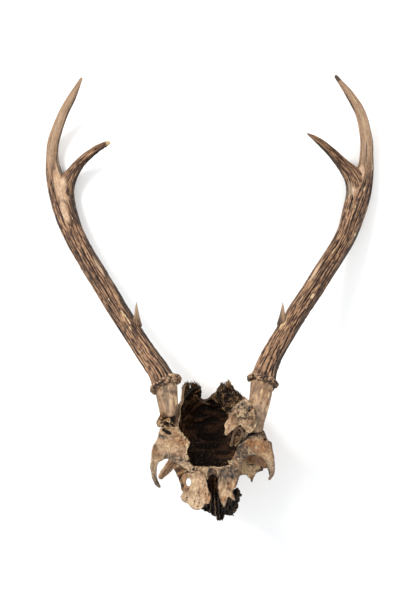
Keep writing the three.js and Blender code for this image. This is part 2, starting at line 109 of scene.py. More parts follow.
def domes(points, size, seed, radius):
    """Round domes on the scattered points: sqrt(1 - (d / radius)2), d and radius in cell widths."""
    return np.sqrt(np.clip(1 - (cells(points, size, seed) / radius) ** 2, 0, 1))


def pits(points, size, seed, radius, wall):
    """1 in round pits at the scattered points and 0 outside, with a sloping wall; in cell widths."""
    return smooth(radius - cells(points, size, seed), 0, wall)


def near_edge(inside, full, none):
    """1 where the depth inside an edge is less than full, and 0 where it is more than none."""
    return 1 - smooth(inside, full, none)


def unit(vectors):
    """Vectors divided by their length."""
    return vectors / np.maximum(np.linalg.norm(vectors, axis=-1, keepdims=True), 1e-9)


def spread(x, y, centre, reach):
    """A soft round or oval spot: exp(-d2), d the distance from centre in reaches."""
    return np.exp(-(((x - centre[0]) / reach[0]) ** 2) - ((y - centre[1]) / reach[1]) ** 2)


def spots(x, y, places):
    """The sum of soft spots, each given as its strength, centre and reach."""
    return sum(strength * spread(x, y, centre, reach) for strength, centre, reach in places)


def ring(x, y, centre, half, sharpness):
    """A soft oval ring: exp(-sharpness * (d - 1)2), d the distance from centre in half widths."""
    distance = np.hypot((x - centre[0]) / half[0], (y - centre[1]) / half[1])
    return np.exp(-sharpness * (distance - 1) ** 2)


def flat_points(x, y):
    """x and y as points at height 0."""
    return np.stack([x, y, np.zeros_like(x)], -1)


# ---- Curves and outlines -----------------------------------------------------------------------

SPAN_POINTS = 24  # points worked out between two stations of a curve
SIDE_POINTS = 4  # points between two corners of an outline


def through(stations, count, closed=False):
    """Points at equal spacing on a smooth curve through stations, whose columns after the third ride along.

    Each span is the cubic that leaves and reaches its stations along the line between their neighbours."""
    stations = np.asarray(stations, float)
    if closed:
        padded = np.concatenate([stations[-1:], stations, stations[:2]])
    else:
        before_first = 2 * stations[:1] - stations[1:2]
        after_last = 2 * stations[-1:] - stations[-2:-1]
        padded = np.concatenate([before_first, stations, after_last])
    before, start, end, after = padded[:-3], padded[1:-2], padded[2:-1], padded[3:]
    t = np.linspace(0, 1, SPAN_POINTS, endpoint=False)[:, None, None]
    leave, reach = (end - before) / 2, (after - start) / 2
    spans = (
        (2 * t**3 - 3 * t**2 + 1) * start
        + (t**3 - 2 * t**2 + t) * leave
        + (3 * t**2 - 2 * t**3) * end
        + (t**3 - t**2) * reach
    )
    line = spans.transpose(1, 0, 2).reshape(-1, stations.shape[1])
    line = np.concatenate([line, line[:1] if closed else stations[-1:]])
    gaps = np.linalg.norm(np.diff(line[:, :3], axis=0), axis=1)
    travelled = np.concatenate([[0], np.cumsum(gaps)])
    wanted = np.linspace(0, travelled[-1], count + (1 if closed else 0))
    found = np.stack([np.interp(wanted, travelled, column) for column in line.T], -1)
    return found[:-1] if closed else found


def outline_depth(x, y, outline):
    """How far inside a smooth closed outline a place lies: distance to its nearest side, negative outside."""
    loop = through(outline, SIDE_POINTS * len(outline), closed=True)
    start, side = loop, np.roll(loop, -1, axis=0) - loop
    nearest = np.full(x.shape, 1e9)
    crossings = np.zeros(x.shape, int)
    for (ax, ay), (dx, dy) in zip(start, side):
        share = np.clip(((x - ax) * dx + (y - ay) * dy) / (dx * dx + dy * dy + 1e-12), 0, 1)
        nearest = np.minimum(nearest, (x - ax - share * dx) ** 2 + (y - ay - share * dy) ** 2)
        if dy != 0:
            crossings += ((ay > y) != (ay + dy > y)) & (x < ax + (y - ay) * dx / dy)
    return np.where(crossings % 2 == 1, 1, -1) * np.sqrt(nearest)


def chain_depth(points, stations):
    """Depth inside a chain of balls whose radius is the last column, and the stations' values there."""
    stations = np.asarray(stations, float)
    size = points.shape[-1]
    nearest = np.full(points.shape[:-1], -1e9)
    values = np.zeros(points.shape[:-1] + (stations.shape[1],))
    for start, end in zip(stations[:-1], stations[1:]):
        way = end[:size] - start[:size]
        share = np.clip(((points - start[:size]) @ way) / (way @ way), 0, 1)[..., None]
        here = start + share * (end - start)
        depth = here[..., -1] - np.linalg.norm(points - here[..., :size], axis=-1)
        better = depth > nearest
        nearest = np.where(better, depth, nearest)
        values = np.where(better[..., None], here, values)
    return nearest, values


def path_depth(x, y, path):
    """Depth inside a flat path, whose half width is its last column."""
    return chain_depth(np.stack([x, y], -1), path)[0]


# ---- Meshes ------------------------------------------------------------------------------------


def make_piece(name, points, quads, marks, material, replaced=(), triangles=(), rod=None):
    """A mesh object at the origin, from points in drawing millimetres and one number per point for each mark.

    rod gives the places that grain follows, such as a limb laid out straight. Without it grain follows the
    points. A mark that a piece lacks reads as 0 in its material."""
    rod = points if rod is None else rod
    points = points + DRAWING_TO_FRAME
    points[:, 2] = np.maximum(points[:, 2], FLOOR_CLEARANCE)
    mesh = bpy.data.meshes.new(name)
    faces = np.asarray(quads).tolist() + np.asarray(triangles, int).reshape(-1, 3).tolist()
    mesh.from_pydata((points * MM).tolist(), [], faces)
    mesh.polygons.foreach_set("use_smooth", np.ones(len(faces), bool))
    for mark, values in marks.items():
        attribute = mesh.attributes.new(mark, "FLOAT", "POINT")
        attribute.data.foreach_set("value", np.asarray(values, np.float32).ravel())
    grain_at = mesh.attributes.new("grain_at", "FLOAT_VECTOR", "POINT")
    grain_at.data.foreach_set("vector", np.asarray(rod, np.float32).ravel())
    mesh.update()
    mesh.materials.append(material)
    piece = bpy.data.objects.new(name, mesh)
    bpy.context.scene.collection.objects.link(piece)
    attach(piece, "root")
    if replaced:
        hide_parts(*replaced)
    return piece


def tube_faces(rows, around):
    """Quads of a grid that closes round, and the fans that join its first and last row to two end points."""
    index = np.arange(rows * around).reshape(rows, around)
    turn = np.roll(index, -1, axis=1)
    quads = np.stack([index[:-1], turn[:-1], turn[1:], index[1:]], -1).reshape(-1, 4)
    first, last = rows * around, rows * around + 1
    start = np.stack([turn[0], index[0], np.full(around, first)], -1)
    end = np.stack([index[-1], turn[-1], np.full(around, last)], -1)
    return quads, np.concatenate([start, end])


def limb_frame(stations, around, step):
    """The spine of a limb: its places, radii, two directions across it, distances along and angles round."""
    length = np.linalg.norm(np.diff(np.asarray(stations, float)[:, :3], axis=0), axis=1).sum()
    line = through(stations, max(4, int(length / step)))
    spine, radius = line[:, :3], line[:, 3]
    forward = unit(np.gradient(spine, axis=0))
    across = unit(np.cross(forward, [0, 0, 1.0]))
    over = np.cross(across, forward)
    angle = np.linspace(0, 2 * np.pi, around, endpoint=False)[None, :]
    gaps = np.linalg.norm(np.diff(spine, axis=0), axis=1)
    along = np.concatenate([[0], np.cumsum(gaps)])[:, None]
    return spine, radius[:, None], across, over, along, angle


def straightened(along, angle, radius):
    """Places on the limb as if it were a straight rod of even radius, so that grain follows its length."""
    ones = np.ones_like(along + angle)
    return np.stack([radius * np.sin(angle) * ones, radius * np.cos(angle) * ones, along * ones], -1)


def limb_piece(name, stations, around, step, relief, material, replaced=(), cap=1.0, flatten=1.0,
               near=None):
    """A closed limb: spine + (radius + relief) * (sin, cos of the angle) along its two cross directions.

    Both ends close as quarter rounds of length cap. relief(along, angle, radius, length) gives the height and
    the marks. near is another limb's stations: nearer to it than FORK_WEB, the surface swells by
    (1 - gap / FORK_WEB)3 * FORK_WEB / 6, so that the two limbs join in a web."""
    spine, radius, across, over, along, angle = limb_frame(stations, around, step)
    length = along[-1, 0]
    height, marks = relief(along, angle, radius, length)
    ends = np.minimum(along, length - along) / cap
    dome = np.sqrt(np.clip(1 - (1 - np.clip(ends, 0, 1)) ** 2, 0.0004, 1))
    reach = (radius + height) * dome
    out = np.sin(angle)[..., None] * across[:, None] + np.cos(angle)[..., None] * over[:, None] * flatten
    rows = spine[:, None] + reach[..., None] * out
    if near is not None:
        within = chain_depth(rows, near)[0]
        swell = (1 - np.clip(-within / FORK_WEB, 0, 1)) ** 3 * FORK_WEB / 6 * (1 - smooth(within, 0, 3))
        rows = rows + swell[..., None] * unit(out) * dome[..., None]
    quads, fans = tube_faces(*rows.shape[:2])
    points = np.concatenate([rows.reshape(-1, 3), spine[:1], spine[-1:]])
    marks = {k: np.append(np.broadcast_to(v, rows.shape[:2]).ravel(), [0, 0]) for k, v in marks.items()}
    rod = straightened(along, angle, PATTERN_RADIUS)
    rod = np.concatenate([rod.reshape(-1, 3), [[0, 0, 0], [0, 0, length]]])
    return make_piece(name, points, quads, marks, material, replaced, fans, rod)


GROW_STEPS = 8  # rounds of growth between two looks at whether a patch still grows


def largest_patch(kept):
    """Of the kept cells, the largest patch that is joined side by side."""
    best = np.zeros_like(kept)
    left = kept.copy()
    while left.any():
        reached = np.zeros_like(kept)
        reached[np.unravel_index(np.argmax(left), kept.shape)] = True
        total = 0
        while reached.sum() != total:
            total = reached.sum()
            for _ in range(GROW_STEPS):
                grown = reached.copy()
                grown[1:] |= reached[:-1]
                grown[:-1] |= reached[1:]
                grown[:, 1:] |= reached[:, :-1]
                grown[:, :-1] |= reached[:, 1:]
                reached = grown & kept
        if reached.sum() > best.sum():
            best = reached
        left &= ~reached
        if best.sum() > left.sum():
            break
    return best


BORDER_SLACK = 0.3  # how far outside the edge a corner of a kept cell may lie, in grid steps
BORDER_SHIFT = 0.7  # how far a border point may move onto the edge, in grid steps
ROUND_SHARE = 0.45  # how much of the thickness the rounded edge may take from either side


def sheet_piece(name, u, v, place, depth, thickness, marks, material, replaced, edge_round, way=None):
    """A broken sheet: place(u, v) on a grid, kept where depth(u, v) > 0, its border moved onto depth = 0.

    Its back is the front moved by the thickness, a number or a function of u and v, straight down or along
    way(front). A band joins the two borders, and both sides bend together near the border as a quarter round
    of radius edge_round."""
    grid_u, grid_v = np.meshgrid(u, v, indexing="ij")
    inside = depth(grid_u, grid_v)
    step = u[1] - u[0]
    enough = inside > -BORDER_SLACK * step
    kept = largest_patch(enough[:-1, :-1] & enough[1:, :-1] & enough[1:, 1:] & enough[:-1, 1:])
    beside = np.zeros(inside.shape, int)
    beside[:-1, :-1] += kept
    beside[1:, :-1] += kept
    beside[1:, 1:] += kept
    beside[:-1, 1:] += kept
    used, border = beside > 0, (beside > 0) & (beside < 4)
    slope_u, slope_v = np.gradient(inside, step)
    shift = np.where(border, inside / (slope_u**2 + slope_v**2 + 1e-3), 0)
    furthest = BORDER_SHIFT * step
    here_u = grid_u - np.clip(shift * slope_u, -furthest, furthest)
    here_v = grid_v - np.clip(shift * slope_v, -furthest, furthest)
    front = place(here_u, here_v)
    inward = np.array([0, 0, -1.0]) if way is None else way(front)
    near = np.clip(np.where(border, 0, inside), 0, edge_round)
    inset = edge_round - np.sqrt(np.maximum(edge_round**2 - (edge_round - near) ** 2, 0))
    deep = thickness(here_u, here_v) if callable(thickness) else thickness
    deep = np.broadcast_to(deep, inside.shape)
    inset = np.minimum(inset, ROUND_SHARE * deep)[..., None]
    back = front + inward * (deep[..., None] - inset)
    front = front + inward * inset
    number = np.cumsum(used.ravel()).reshape(used.shape) - 1
    count = used.sum()
    i, j = np.nonzero(kept)
    quads = np.stack([number[i, j], number[i + 1, j], number[i + 1, j + 1], number[i, j + 1]], -1)
    sides = np.concatenate([quads[:, [0, 1]], quads[:, [1, 2]], quads[:, [2, 3]], quads[:, [3, 0]]])
    one_way = sides[:, 0] * count + sides[:, 1]
    other_way = sides[:, 1] * count + sides[:, 0]
    open_sides = sides[~np.isin(one_way, other_way)]
    a, b = open_sides[:, 0], open_sides[:, 1]
    band = np.stack([b, a, a + count, b + count], -1)
    faces = np.concatenate([quads, quads[:, ::-1] + count, band])
    points = np.concatenate([front[used], back[used]])
    found = marks(here_u, here_v, np.maximum(inside, 0), front)
    found = {k: np.clip(np.broadcast_to(value, used.shape)[used], 0, 1) for k, value in found.items()}
    both = {k: np.tile(value, 2) for k, value in found.items()}
    # The backs of the sheets are marked so that their material darkens them as painted shade on the
    # undersides.
    both["under"] = np.repeat([0.0, 1.0], count)
    return make_piece(name, points, faces, both, material, replaced)


# ---- Materials ---------------------------------------------------------------------------------


def colour(code):
    """A colour from its sRGB hex code, as linear red, green, blue and full opacity."""
    parts = np.array([int(code[k : k + 2], 16) for k in (1, 3, 5)]) / 255
    linear = np.where(parts <= 0.04045, parts / 12.92, ((parts + 0.055) / 1.055) ** 2.4)
    return (*linear, 1.0)


def add(tree, kind, inputs=(), **settings):
    """A shader node with its settings; each input is a value, a hex colour or the socket that feeds it."""
    made = tree.nodes.new(kind)
    for name, value in settings.items():
        setattr(made, name, value)
    for socket, value in dict(inputs).items():
        if isinstance(value, bpy.types.NodeSocket):
            tree.links.new(value, made.inputs[socket])
        elif isinstance(value, str):
            made.inputs[socket].default_value = colour(value)
        else:
            made.inputs[socket].default_value = value
    return made


def mark_value(tree, name):
    """A mark's number, kept between 0 and 1."""
    source = add(tree, "ShaderNodeAttribute", attribute_name=name)
    return add(tree, "ShaderNodeMapRange", {0: source.outputs["Fac"]}).outputs[0]


def speck(tree, scale_mm, detail, stretch, low, high, shift=0.0):
    """Procedural grain of about scale_mm along the piece's grain, stretched to 0..1 between low and high."""
    at = add(tree, "ShaderNodeAttribute", attribute_name="grain_at").outputs["Vector"]
    size = tuple(1 / (scale_mm * s) for s in stretch)
    scaled = add(tree, "ShaderNodeMapping", {0: at, 1: (shift, shift, shift), 3: size}).outputs[0]
    noise = add(tree, "ShaderNodeTexNoise", {0: scaled, "Scale": 1.0, "Detail": detail})
    return add(tree, "ShaderNodeMapRange", {0: noise.outputs[0], 1: low, 2: high}).outputs[0]


def blend(tree, share, first, second, how="MIX"):
    """Two colours mixed by a share."""
    made = add(tree, "ShaderNodeMix", {0: share, 6: first, 7: second}, data_type="RGBA", blend_type=how)
    return made.outputs[2]


def times(tree, first, second):
    """The product of two numbers."""
    return add(tree, "ShaderNodeMath", {0: first, 1: second}, operation="MULTIPLY", use_clamp=True).outputs[0]


def finish_surface(material, base, roughness, height, bump_mm, specular=0.35, soil="#dacdbe"):
    """Joins colour, roughness and a bump of bump_mm to the surface, dulled all over by a film of soil."""
    tree = material.node_tree
    bump = add(tree, "ShaderNodeBump", {"Strength": 1.0, "Distance": bump_mm * MM, "Height": height})
    shader = add(tree, "ShaderNodeBsdfPrincipled", {
        "Base Color": blend(tree, 1.0, base, soil, "MULTIPLY"),
        "Roughness": roughness,
        "Specular IOR Level": specular,
        "Normal": bump.outputs[0],
    })
    add(tree, "ShaderNodeOutputMaterial", {0: shader.outputs[0]})


def empty_material(name):
    """A new material without nodes."""
    material = bpy.data.materials.new(name)
    material.use_nodes = True
    material.node_tree.nodes.clear()
    return material


def bone_material(name, pale, mid, dark, rough_low, rough_high, streak=(1, 1, 1)):
    """Dry bone: pale, mid and dark patches, specks, pores, and marks: near black for dark specks and painted
    shade in pits and hollows, cream and painted highlights, grey stains and painted shade, warm patches,
    painted shade on sheet backs.
    """
    material = empty_material(name)
    tree = material.node_tree
    patches = blend(tree, speck(tree, 13, 5, streak, 0.4, 0.6), mid, pale)
    patches = blend(tree, times(tree, speck(tree, 4.5, 6, streak, 0.55, 0.7, 7), 0.75), patches, dark)
    fine = speck(tree, 2.2, 6, streak, 0.36, 0.64, 3)
    patches = blend(tree, 0.5, patches, blend(tree, fine, "#85776a", "#ffffff"), "MULTIPLY")
    pores = speck(tree, 1.5, 2, streak, 0.6, 0.66, 11)
    patches = blend(tree, times(tree, pores, 0.7), patches, dark)
    bloom = speck(tree, 3.0, 3, streak, 0.6, 0.7, 19)
    patches = blend(tree, times(tree, bloom, 0.5), patches, "#ead9c4")
    warm = times(tree, mark_value(tree, "warm"), 0.8)
    with_warm = blend(tree, warm, patches, blend(tree, fine, "#5a3717", "#c58b4a"))
    mottle = speck(tree, 2.6, 4, streak, 0.4, 0.56, 15)
    mottled_share = add(tree, "ShaderNodeMapRange", {0: mottle, 3: 0.55, 4: 1.0}).outputs[0]
    # Grey black: real stains, and in places painted shade.
    stain = times(tree, mark_value(tree, "stain"), mottled_share)
    with_stain_and_shade = blend(tree, stain, with_warm, blend(tree, fine, "#0f0b09", "#655a50"))
    # Pale cream: broken bone and rubbed places, and in places painted highlights.
    cream = mark_value(tree, "cream")
    with_cream_and_highlight = blend(tree, cream, with_stain_and_shade, blend(tree, fine, "#b39a74", "#f2e4c8"))
    # Near black: dark specks and dark lines along torn edges, and painted shade in pits, cells, clefts and
    # folds.
    with_dark_and_pit_shade = blend(tree, mark_value(tree, "pit"), with_cream_and_highlight, "#120a06")
    # Painted shade on the undersides: the backs of the sheets are darkened.
    base = blend(tree, times(tree, mark_value(tree, "under"), 0.35), with_dark_and_pit_shade, "#4b3626")
    roughness = add(tree, "ShaderNodeMapRange", {0: fine, 3: rough_low, 4: rough_high}).outputs[0]
    finish_surface(material, base, roughness, fine, 0.6)
    return material


def antler_material(name, light, mid, dark, worn):
    """Antler: dark in the grooves and lighter on the ridges, with rubbed (worn) places under a painted sheen,
    painted shade on one side and in stripes, a dark tip, and chipped places.
    """
    material = empty_material(name)
    tree = material.node_tree
    threads = speck(tree, 1.1, 4, (1, 1, 9), 0.38, 0.62)
    fine = speck(tree, 1.5, 5, (1, 1, 1.6), 0.3, 0.7, 5)
    broad = speck(tree, 9, 4, (1, 1, 3), 0.4, 0.62, 9)
    level = add(tree, "ShaderNodeMix", {0: 0.36, 2: mark_value(tree, "groove"), 3: threads}).outputs[0]
    low_part = add(tree, "ShaderNodeMapRange", {0: level, 1: 0.24, 2: 0.52}).outputs[0]
    high_part = add(tree, "ShaderNodeMapRange", {0: level, 1: 0.5, 2: 0.8}).outputs[0]
    body = blend(tree, high_part, mid, blend(tree, broad, blend(tree, 0.5, mid, light), light))
    body = blend(tree, low_part, dark, body)
    rubbed_skin_and_sheen = blend(tree, times(tree, threads, 0.5), worn, blend(tree, 0.6, mid, dark))
    # Painted sheen on the rubbed places: broad patches lightened towards near white.
    rubbed_skin_and_sheen = blend(tree, times(tree, broad, 0.8), rubbed_skin_and_sheen, "#f2dfcc")
    rubbed = blend(tree, mark_value(tree, "worn"), body, rubbed_skin_and_sheen)
    rubbed = blend(tree, 0.5, rubbed, blend(tree, fine, "#94887c", "#ffffff"), "MULTIPLY")
    # Near black painted shade on the shaded side, in stripes and between the burr's beads, and the dark tip.
    with_shade_and_dark_spots = blend(tree, times(tree, mark_value(tree, "soot"), 0.75), rubbed, "#1a110b")
    base = blend(tree, mark_value(tree, "chip"), with_shade_and_dark_spots, blend(tree, fine, "#c4ac84", "#f2e6cc"))
    roughness = add(tree, "ShaderNodeMapRange", {0: fine, 3: 0.68, 4: 0.46}).outputs[0]
    finish_surface(material, base, roughness, fine, 0.25, 0.3)
    return material


def skin_material(name, low, high, fleck, roughness, bump_mm):
    """Dried skin: nearly black where relief is low and brown where it is high, mostly painted shade in the
    folds and painted highlights on their crests, with a few pale flecks.
    """
    material = empty_material(name)
    tree = material.node_tree
    fine = speck(tree, 1.6, 6, (1, 1, 1), 0.34, 0.66)
    # Painted shade in the folds and painted highlights on the crests, as the mark relief gives them.
    body = blend(tree, mark_value(tree, "relief"), low, blend(tree, fine, low, high))
    specks = times(tree, speck(tree, 1.8, 2, (1, 1, 1), 0.64, 0.7, 4), mark_value(tree, "fleck"))
    base = blend(tree, specks, body, fleck)
    finish_surface(material, base, roughness, fine, bump_mm, 0.12)
    return material


# Skull bone that lay outdoors: tan, with grey weathering, soil in its pores and cream where it broke.
CRANIAL_BONE = bone_material("cranial bone, weathered", "#ead2b8", "#b08f72", "#56402f", 0.5, 0.75)
# Thin bone of the nose: paler and pinker, with soft pits.
NOSE_BONE = bone_material("nasal bone, thin and bleached", "#f0d9c2", "#bb987a", "#644937", 0.48, 0.7,
                          (0.9, 1.5, 1))
# Bone of the eye socket: orange brown where soil and fat have soaked in.
SOCKET_BONE = bone_material("eye socket bone, soaked brown", "#b08a60", "#83603f", "#33241a", 0.45, 0.7)
# The stalks that carried the antlers: grey tan with short streaks along them.
STALK_BONE = bone_material("antler stalk bone, grey tan", "#d8c1a8", "#b0947a", "#5e4a38", 0.5, 0.72,
                           (1.2, 1.2, 2.2))
# Broken spongy bone: gold brown lattice with dark cells.
SPONGY_BONE = bone_material("spongy bone, broken open", "#c3a583", "#8a6a4a", "#3a281a", 0.6, 0.85)
# Dried muscle and fat that matted on the socket: grey tan threads.
MATTED_SKIN = bone_material("socket tissue, matted grey", "#d6c09e", "#9c866a", "#2c1d12", 0.7, 0.9)
# Antler as it grew: brown bark colour, darker in the grooves that blood vessels left.
BEAM_ANTLER = antler_material("antler beam, grooved", "#d4b293", "#644836", "#080403", "#ecd0b6")
# The rough ring round the antler's foot: dark, with painted shade between the beads, and tan bead tops.
BURR_ANTLER = antler_material("antler burr, beaded", "#ecd2b4", "#70543f", "#0a0604", "#a98c70")
# Skin that dried inside the braincase: black brown, folded, with painted shade in the folds and a painted
# sheen on the crests.
LINING_SKIN = skin_material("brain lining, dried in folds", "#24180f", "#84604a", "#b09f88", 0.5, 0.3)
# Torn neck skin with matted hair along the broken edge.
NAPE_SKIN = skin_material("nape skin, matted and torn", "#1c1109", "#b6946c", "#e2d0b4", 0.8, 0.5)
# The curled sheets of the nose, dried black.
SCROLL_SKIN = skin_material("nasal scrolls, dried black", "#080403", "#6e4e38", "#a58a70", 0.6, 0.5)

# ---- Antlers -----------------------------------------------------------------------------------

FORK_WEB = 12.0  # how far the web between two branches reaches
WIDE_GROOVES = 12  # grooves round the limb that blood vessels left
THIN_GROOVES = 26
PATTERN_RADIUS = 9.0  # radius of the straight rod that the antlers' grain is drawn on
RELIEF_SINK = 0.8  # how far the middle of the relief lies under the drawn radius

LEFT_ANTLER = [
    (-39, -79, 91, 10.6), (-46, -65.5, 85.5, 9.8), (-59.8, -46.7, 74.5, 9.4), (-81.1, -14.4, 55.5, 9.4),
    (-101.6, 18.3, 38, 9.5), (-121.5, 51.5, 22, 9.6), (-131.8, 76.6, 12.8, 9.7), (-138.4, 97.9, 9.2, 9.6),
    (-143.3, 114.5, 8, 7.4), (-144.4, 130.2, 9, 5.9), (-142.2, 145.6, 13, 5.8), (-133.8, 166.9, 24, 5.1),
    (-125, 181.6, 35, 4.3), (-115.4, 198.6, 46.6, 2.0),
]
LEFT_FORK = [
    (-130.4, 70, 14.5, 6.4), (-133.0, 84, 11.2, 8.2), (-133.4, 95, 10.0, 8.4), (-128.6, 108, 12.8, 6.9),
    (-118.6, 122.2, 18.6, 5.0), (-104.8, 133.2, 28, 4.0), (-95.9, 138, 34, 3.2), (-90.2, 140.0, 38, 2.6),
]
LEFT_BROW = [
    (-67.7, -37, 69, 2.4), (-65, -30.5, 67, 3.0), (-64.8, -25, 67.5, 3.0), (-65, -17, 69.8, 2.5),
    (-65.3, -11, 71.2, 1.9), (-65.2, -5.4, 72.6, 0.9),
]
RIGHT_ANTLER = [
    (47.5, -76.2, 91, 10.8), (52, -62.6, 85, 10), (60.3, -46.7, 76, 9.6), (80.4, -14.4, 56, 9.5),
    (102.4, 18.3, 38, 9.6), (123.6, 51.5, 22, 9.6), (133.4, 76.6, 12.8, 9.6), (140.2, 97.9, 9.2, 9.6),
    (144.4, 114.5, 8.2, 7.8), (145.4, 130.2, 9, 6.5), (144.7, 145.6, 12.5, 6.0), (139.2, 167, 22, 5.5),
    (128.8, 183.4, 33, 4.5), (114.4, 200.6, 46.4, 2.2),
]
RIGHT_FORK = [
    (131, 70, 14.8, 6.4), (134.2, 84, 11.2, 8.2), (135.6, 97, 10.0, 8.5), (131.0, 111.6, 13, 8),
    (122.2, 121.8, 18, 5.8), (111.0, 132.6, 26, 4.5), (100.0, 141.6, 33, 3.4), (89.2, 148.4, 38.6, 1.3),
]
RIGHT_BROW = [
    (68.5, -37, 69, 2.4), (65.6, -30.5, 67, 3.0), (65.4, -25, 67.5, 3.0), (65.7, -17, 69.8, 2.5),
    (66.1, -11, 71.2, 1.9), (66, -5.4, 72.4, 0.9),
]

# Spots on a limb: distance along it, angle round it, half length, half angle. Chips show the pale inside.
LEFT_CHIPS = [
    (70, 0.34, 7, 0.1), (78, 0.2, 4, 0.07), (61, 0.05, 2.5, 0.06), (66, 0.8, 1.4, 0.08),
    (97, -0.2, 1.6, 0.08), (51, 0.5, 1.5, 0.06), (150, 0.25, 1.4, 0.06), (188, 0.45, 1.6, 0.05),
    (36, -0.4, 1.6, 0.08),
]
# On the right antler, the chips at 284 and 308 along the main tine are painted highlights on its rubbed bend.
RIGHT_CHIPS = [
    (58, -0.75, 8, 0.2), (96, 0.3, 3.6, 0.18), (86, -0.5, 7, 0.07), (146, -0.4, 4, 0.06),
    (114, -0.6, 3, 0.05), (172, 0.95, 2, 0.12), (196, -0.1, 2, 0.05), (84, 0.5, 2.5, 0.06),
    (216, 0.2, 3, 0.05), (308, 0.15, 7, 0.2), (284, 0.05, 9, 0.16), (238, 1.0, 3, 0.14),
]
# Places that were rubbed smooth.
LEFT_RUBS = [(222, 0.35, 20, 0.6), (236, 0.9, 16, 0.6), (198, 0.0, 16, 0.35), (130, 0.7, 12, 0.2)]
RIGHT_RUBS = [(228, -0.6, 14, 0.5), (120, -0.9, 14, 0.25), (170, 0.9, 14, 0.2)]
FORK_RUBS = [(12, -0.6, 30, 1.1)]
# Dark spots: the right tip's own dark brown, and painted shade in stripes along the edges of the main tines.
LEFT_SHADE_STRIPES = [(304, 1.2, 32, 0.42), (272, 1.15, 22, 0.36), (240, 0.95, 20, 0.26), (228, 1.4, 26, 0.4)]
RIGHT_DARK_TIP_AND_SHADE = [
    (336, 0, 6, 9), (306, -1.2, 14, 0.45), (262, 1.3, 34, 0.3), (228, 1.25, 26, 0.4), (250, -0.1, 16, 0.12),
]


def spots_on_limb(places, along, angle):
    """How near a place on a limb is to any of the spots: 1 at a middle, 0 at a border, negative outside."""
    best = np.full(np.broadcast_shapes(along.shape, angle.shape), -9.0)
    for at, turn, half_length, half_width in places:
        round_it = (np.mod(angle - turn + np.pi, 2 * np.pi) - np.pi) / half_width
        best = np.maximum(best, 1 - ((along - at) / half_length) ** 2 - round_it**2)
    return best


def antler_relief(seed, smooth_start, smooth_end, depth, shaded_side_angle, chips=(), rubs=(), dark_spots=(),
                  shaded_side_end=150.0, fresh_end=None, flare=0.0):
    """Relief of an antler: grooves that run along it, wavering, finer ones on them, and beads near the foot.

    Grooves are about depth deep, and fade between smooth_start and smooth_end of the length and on the rubs.
    One side, at a given angle round the limb, carries painted shade as far as a given distance along it; the
    dark spots paint shade in stripes and the dark tip. From fresh_end of the length on, the tip is broken and
    pale. flare widens the foot."""

    def relief(along, angle, radius, length):
        rod = straightened(along, angle, PATTERN_RADIUS)
        sway = 1.5 * rough(rod, (9, 9, 60), seed + 40, 3)
        shown = smooth(rough(rod, (4, 4, 34), seed, 2), -0.35, 0.15)
        shown_thin = smooth(rough(rod, (3, 3, 14), seed + 1, 2), -0.4, 0.1)
        wide = np.abs(np.sin(0.5 * WIDE_GROOVES * angle + sway))
        fine_sway = 2.1 * sway + 0.8 * rough(rod, (4, 4, 20), seed + 2, 2)
        thin = np.abs(np.sin(0.5 * THIN_GROOVES * angle + fine_sway))
        ridges = 1 - 2 * shown * (1 - smooth(wide, 0.1, 0.62))
        threads = 1 - 2 * shown_thin * (1 - smooth(thin, 0.1, 0.7))
        flecks = rough(rod, (1.3, 1.3, 3.4), seed + 3, 2)
        swell = rough(rod, (12, 12, 26), seed + 5, 2)
        beads = domes(rod, (3.2, 3.2, 5.0), seed + 7, 0.55)
        rub = spots_on_limb(rubs, along, angle) + 0.5 * rough(rod, (5, 5, 9), seed + 8, 2)
        rub = smooth(rub, -0.2, 0.6)
        kept = (1 - 0.7 * smooth(along / length, smooth_start, smooth_end)) * (1 - 0.85 * rub)
        patchy = smooth(rough(rod, (9, 9, 18), seed + 9, 2), -0.1, 0.5)
        beading = kept * patchy * (0.4 + 0.6 * (1 - smooth(along, 0, 60)))
        amount = depth * (0.1 + 0.9 * kept) * np.minimum(1, radius / 5)
        height = amount * (0.52 * ridges + 0.3 * threads + 0.16 * flecks)
        height = height + 0.5 * swell * np.minimum(1, radius / 6) + 0.7 * beading * beads
        height = height - RELIEF_SINK + flare * np.exp(-along / 5)
        # The sine term paints shade: the limb is a little darker on one side.
        tone_and_side_shade = 0.2 * rough(rod, (5, 5, 24), seed + 15, 3) - 0.06 * np.sin(angle)
        groove = 0.17 + 0.3 * ridges + 0.24 * threads + 0.34 * flecks + 0.4 * beads * beading + tone_and_side_shade
        chip = spots_on_limb(chips, along, angle) + 0.8 * rough(rod, (1.2, 1.2, 3), seed + 11, 2)
        chip = smooth(chip, 0.1, 0.5)
        if fresh_end is not None:
            broken = smooth(along / length + 0.02 * flecks, fresh_end, fresh_end + 0.02)
            chip = np.maximum(chip, broken)
        # Painted shade on the side away from the light, fading out along the limb, and in the dark spots.
        dark_side = np.cos(angle - shaded_side_angle) + 0.4 * rough(rod, (4, 4, 16), seed + 13, 3)
        soot = smooth(dark_side, 0.55, 0.9) * (1 - smooth(along, shaded_side_end, shaded_side_end + 40))
        dark_spot_reach = spots_on_limb(dark_spots, along, angle) + 0.5 * rough(rod, (2, 2, 5), seed + 17, 2)
        soot = np.maximum(soot, smooth(dark_spot_reach, 0.0, 0.5))
        worn = np.clip(1.25 * (1 - kept) - 0.1, 0, 1)
        marks = {"groove": np.clip(groove, 0, 1), "worn": worn, "chip": chip, "soot": soot}
        return height - 0.35 * chip, marks

    return relief


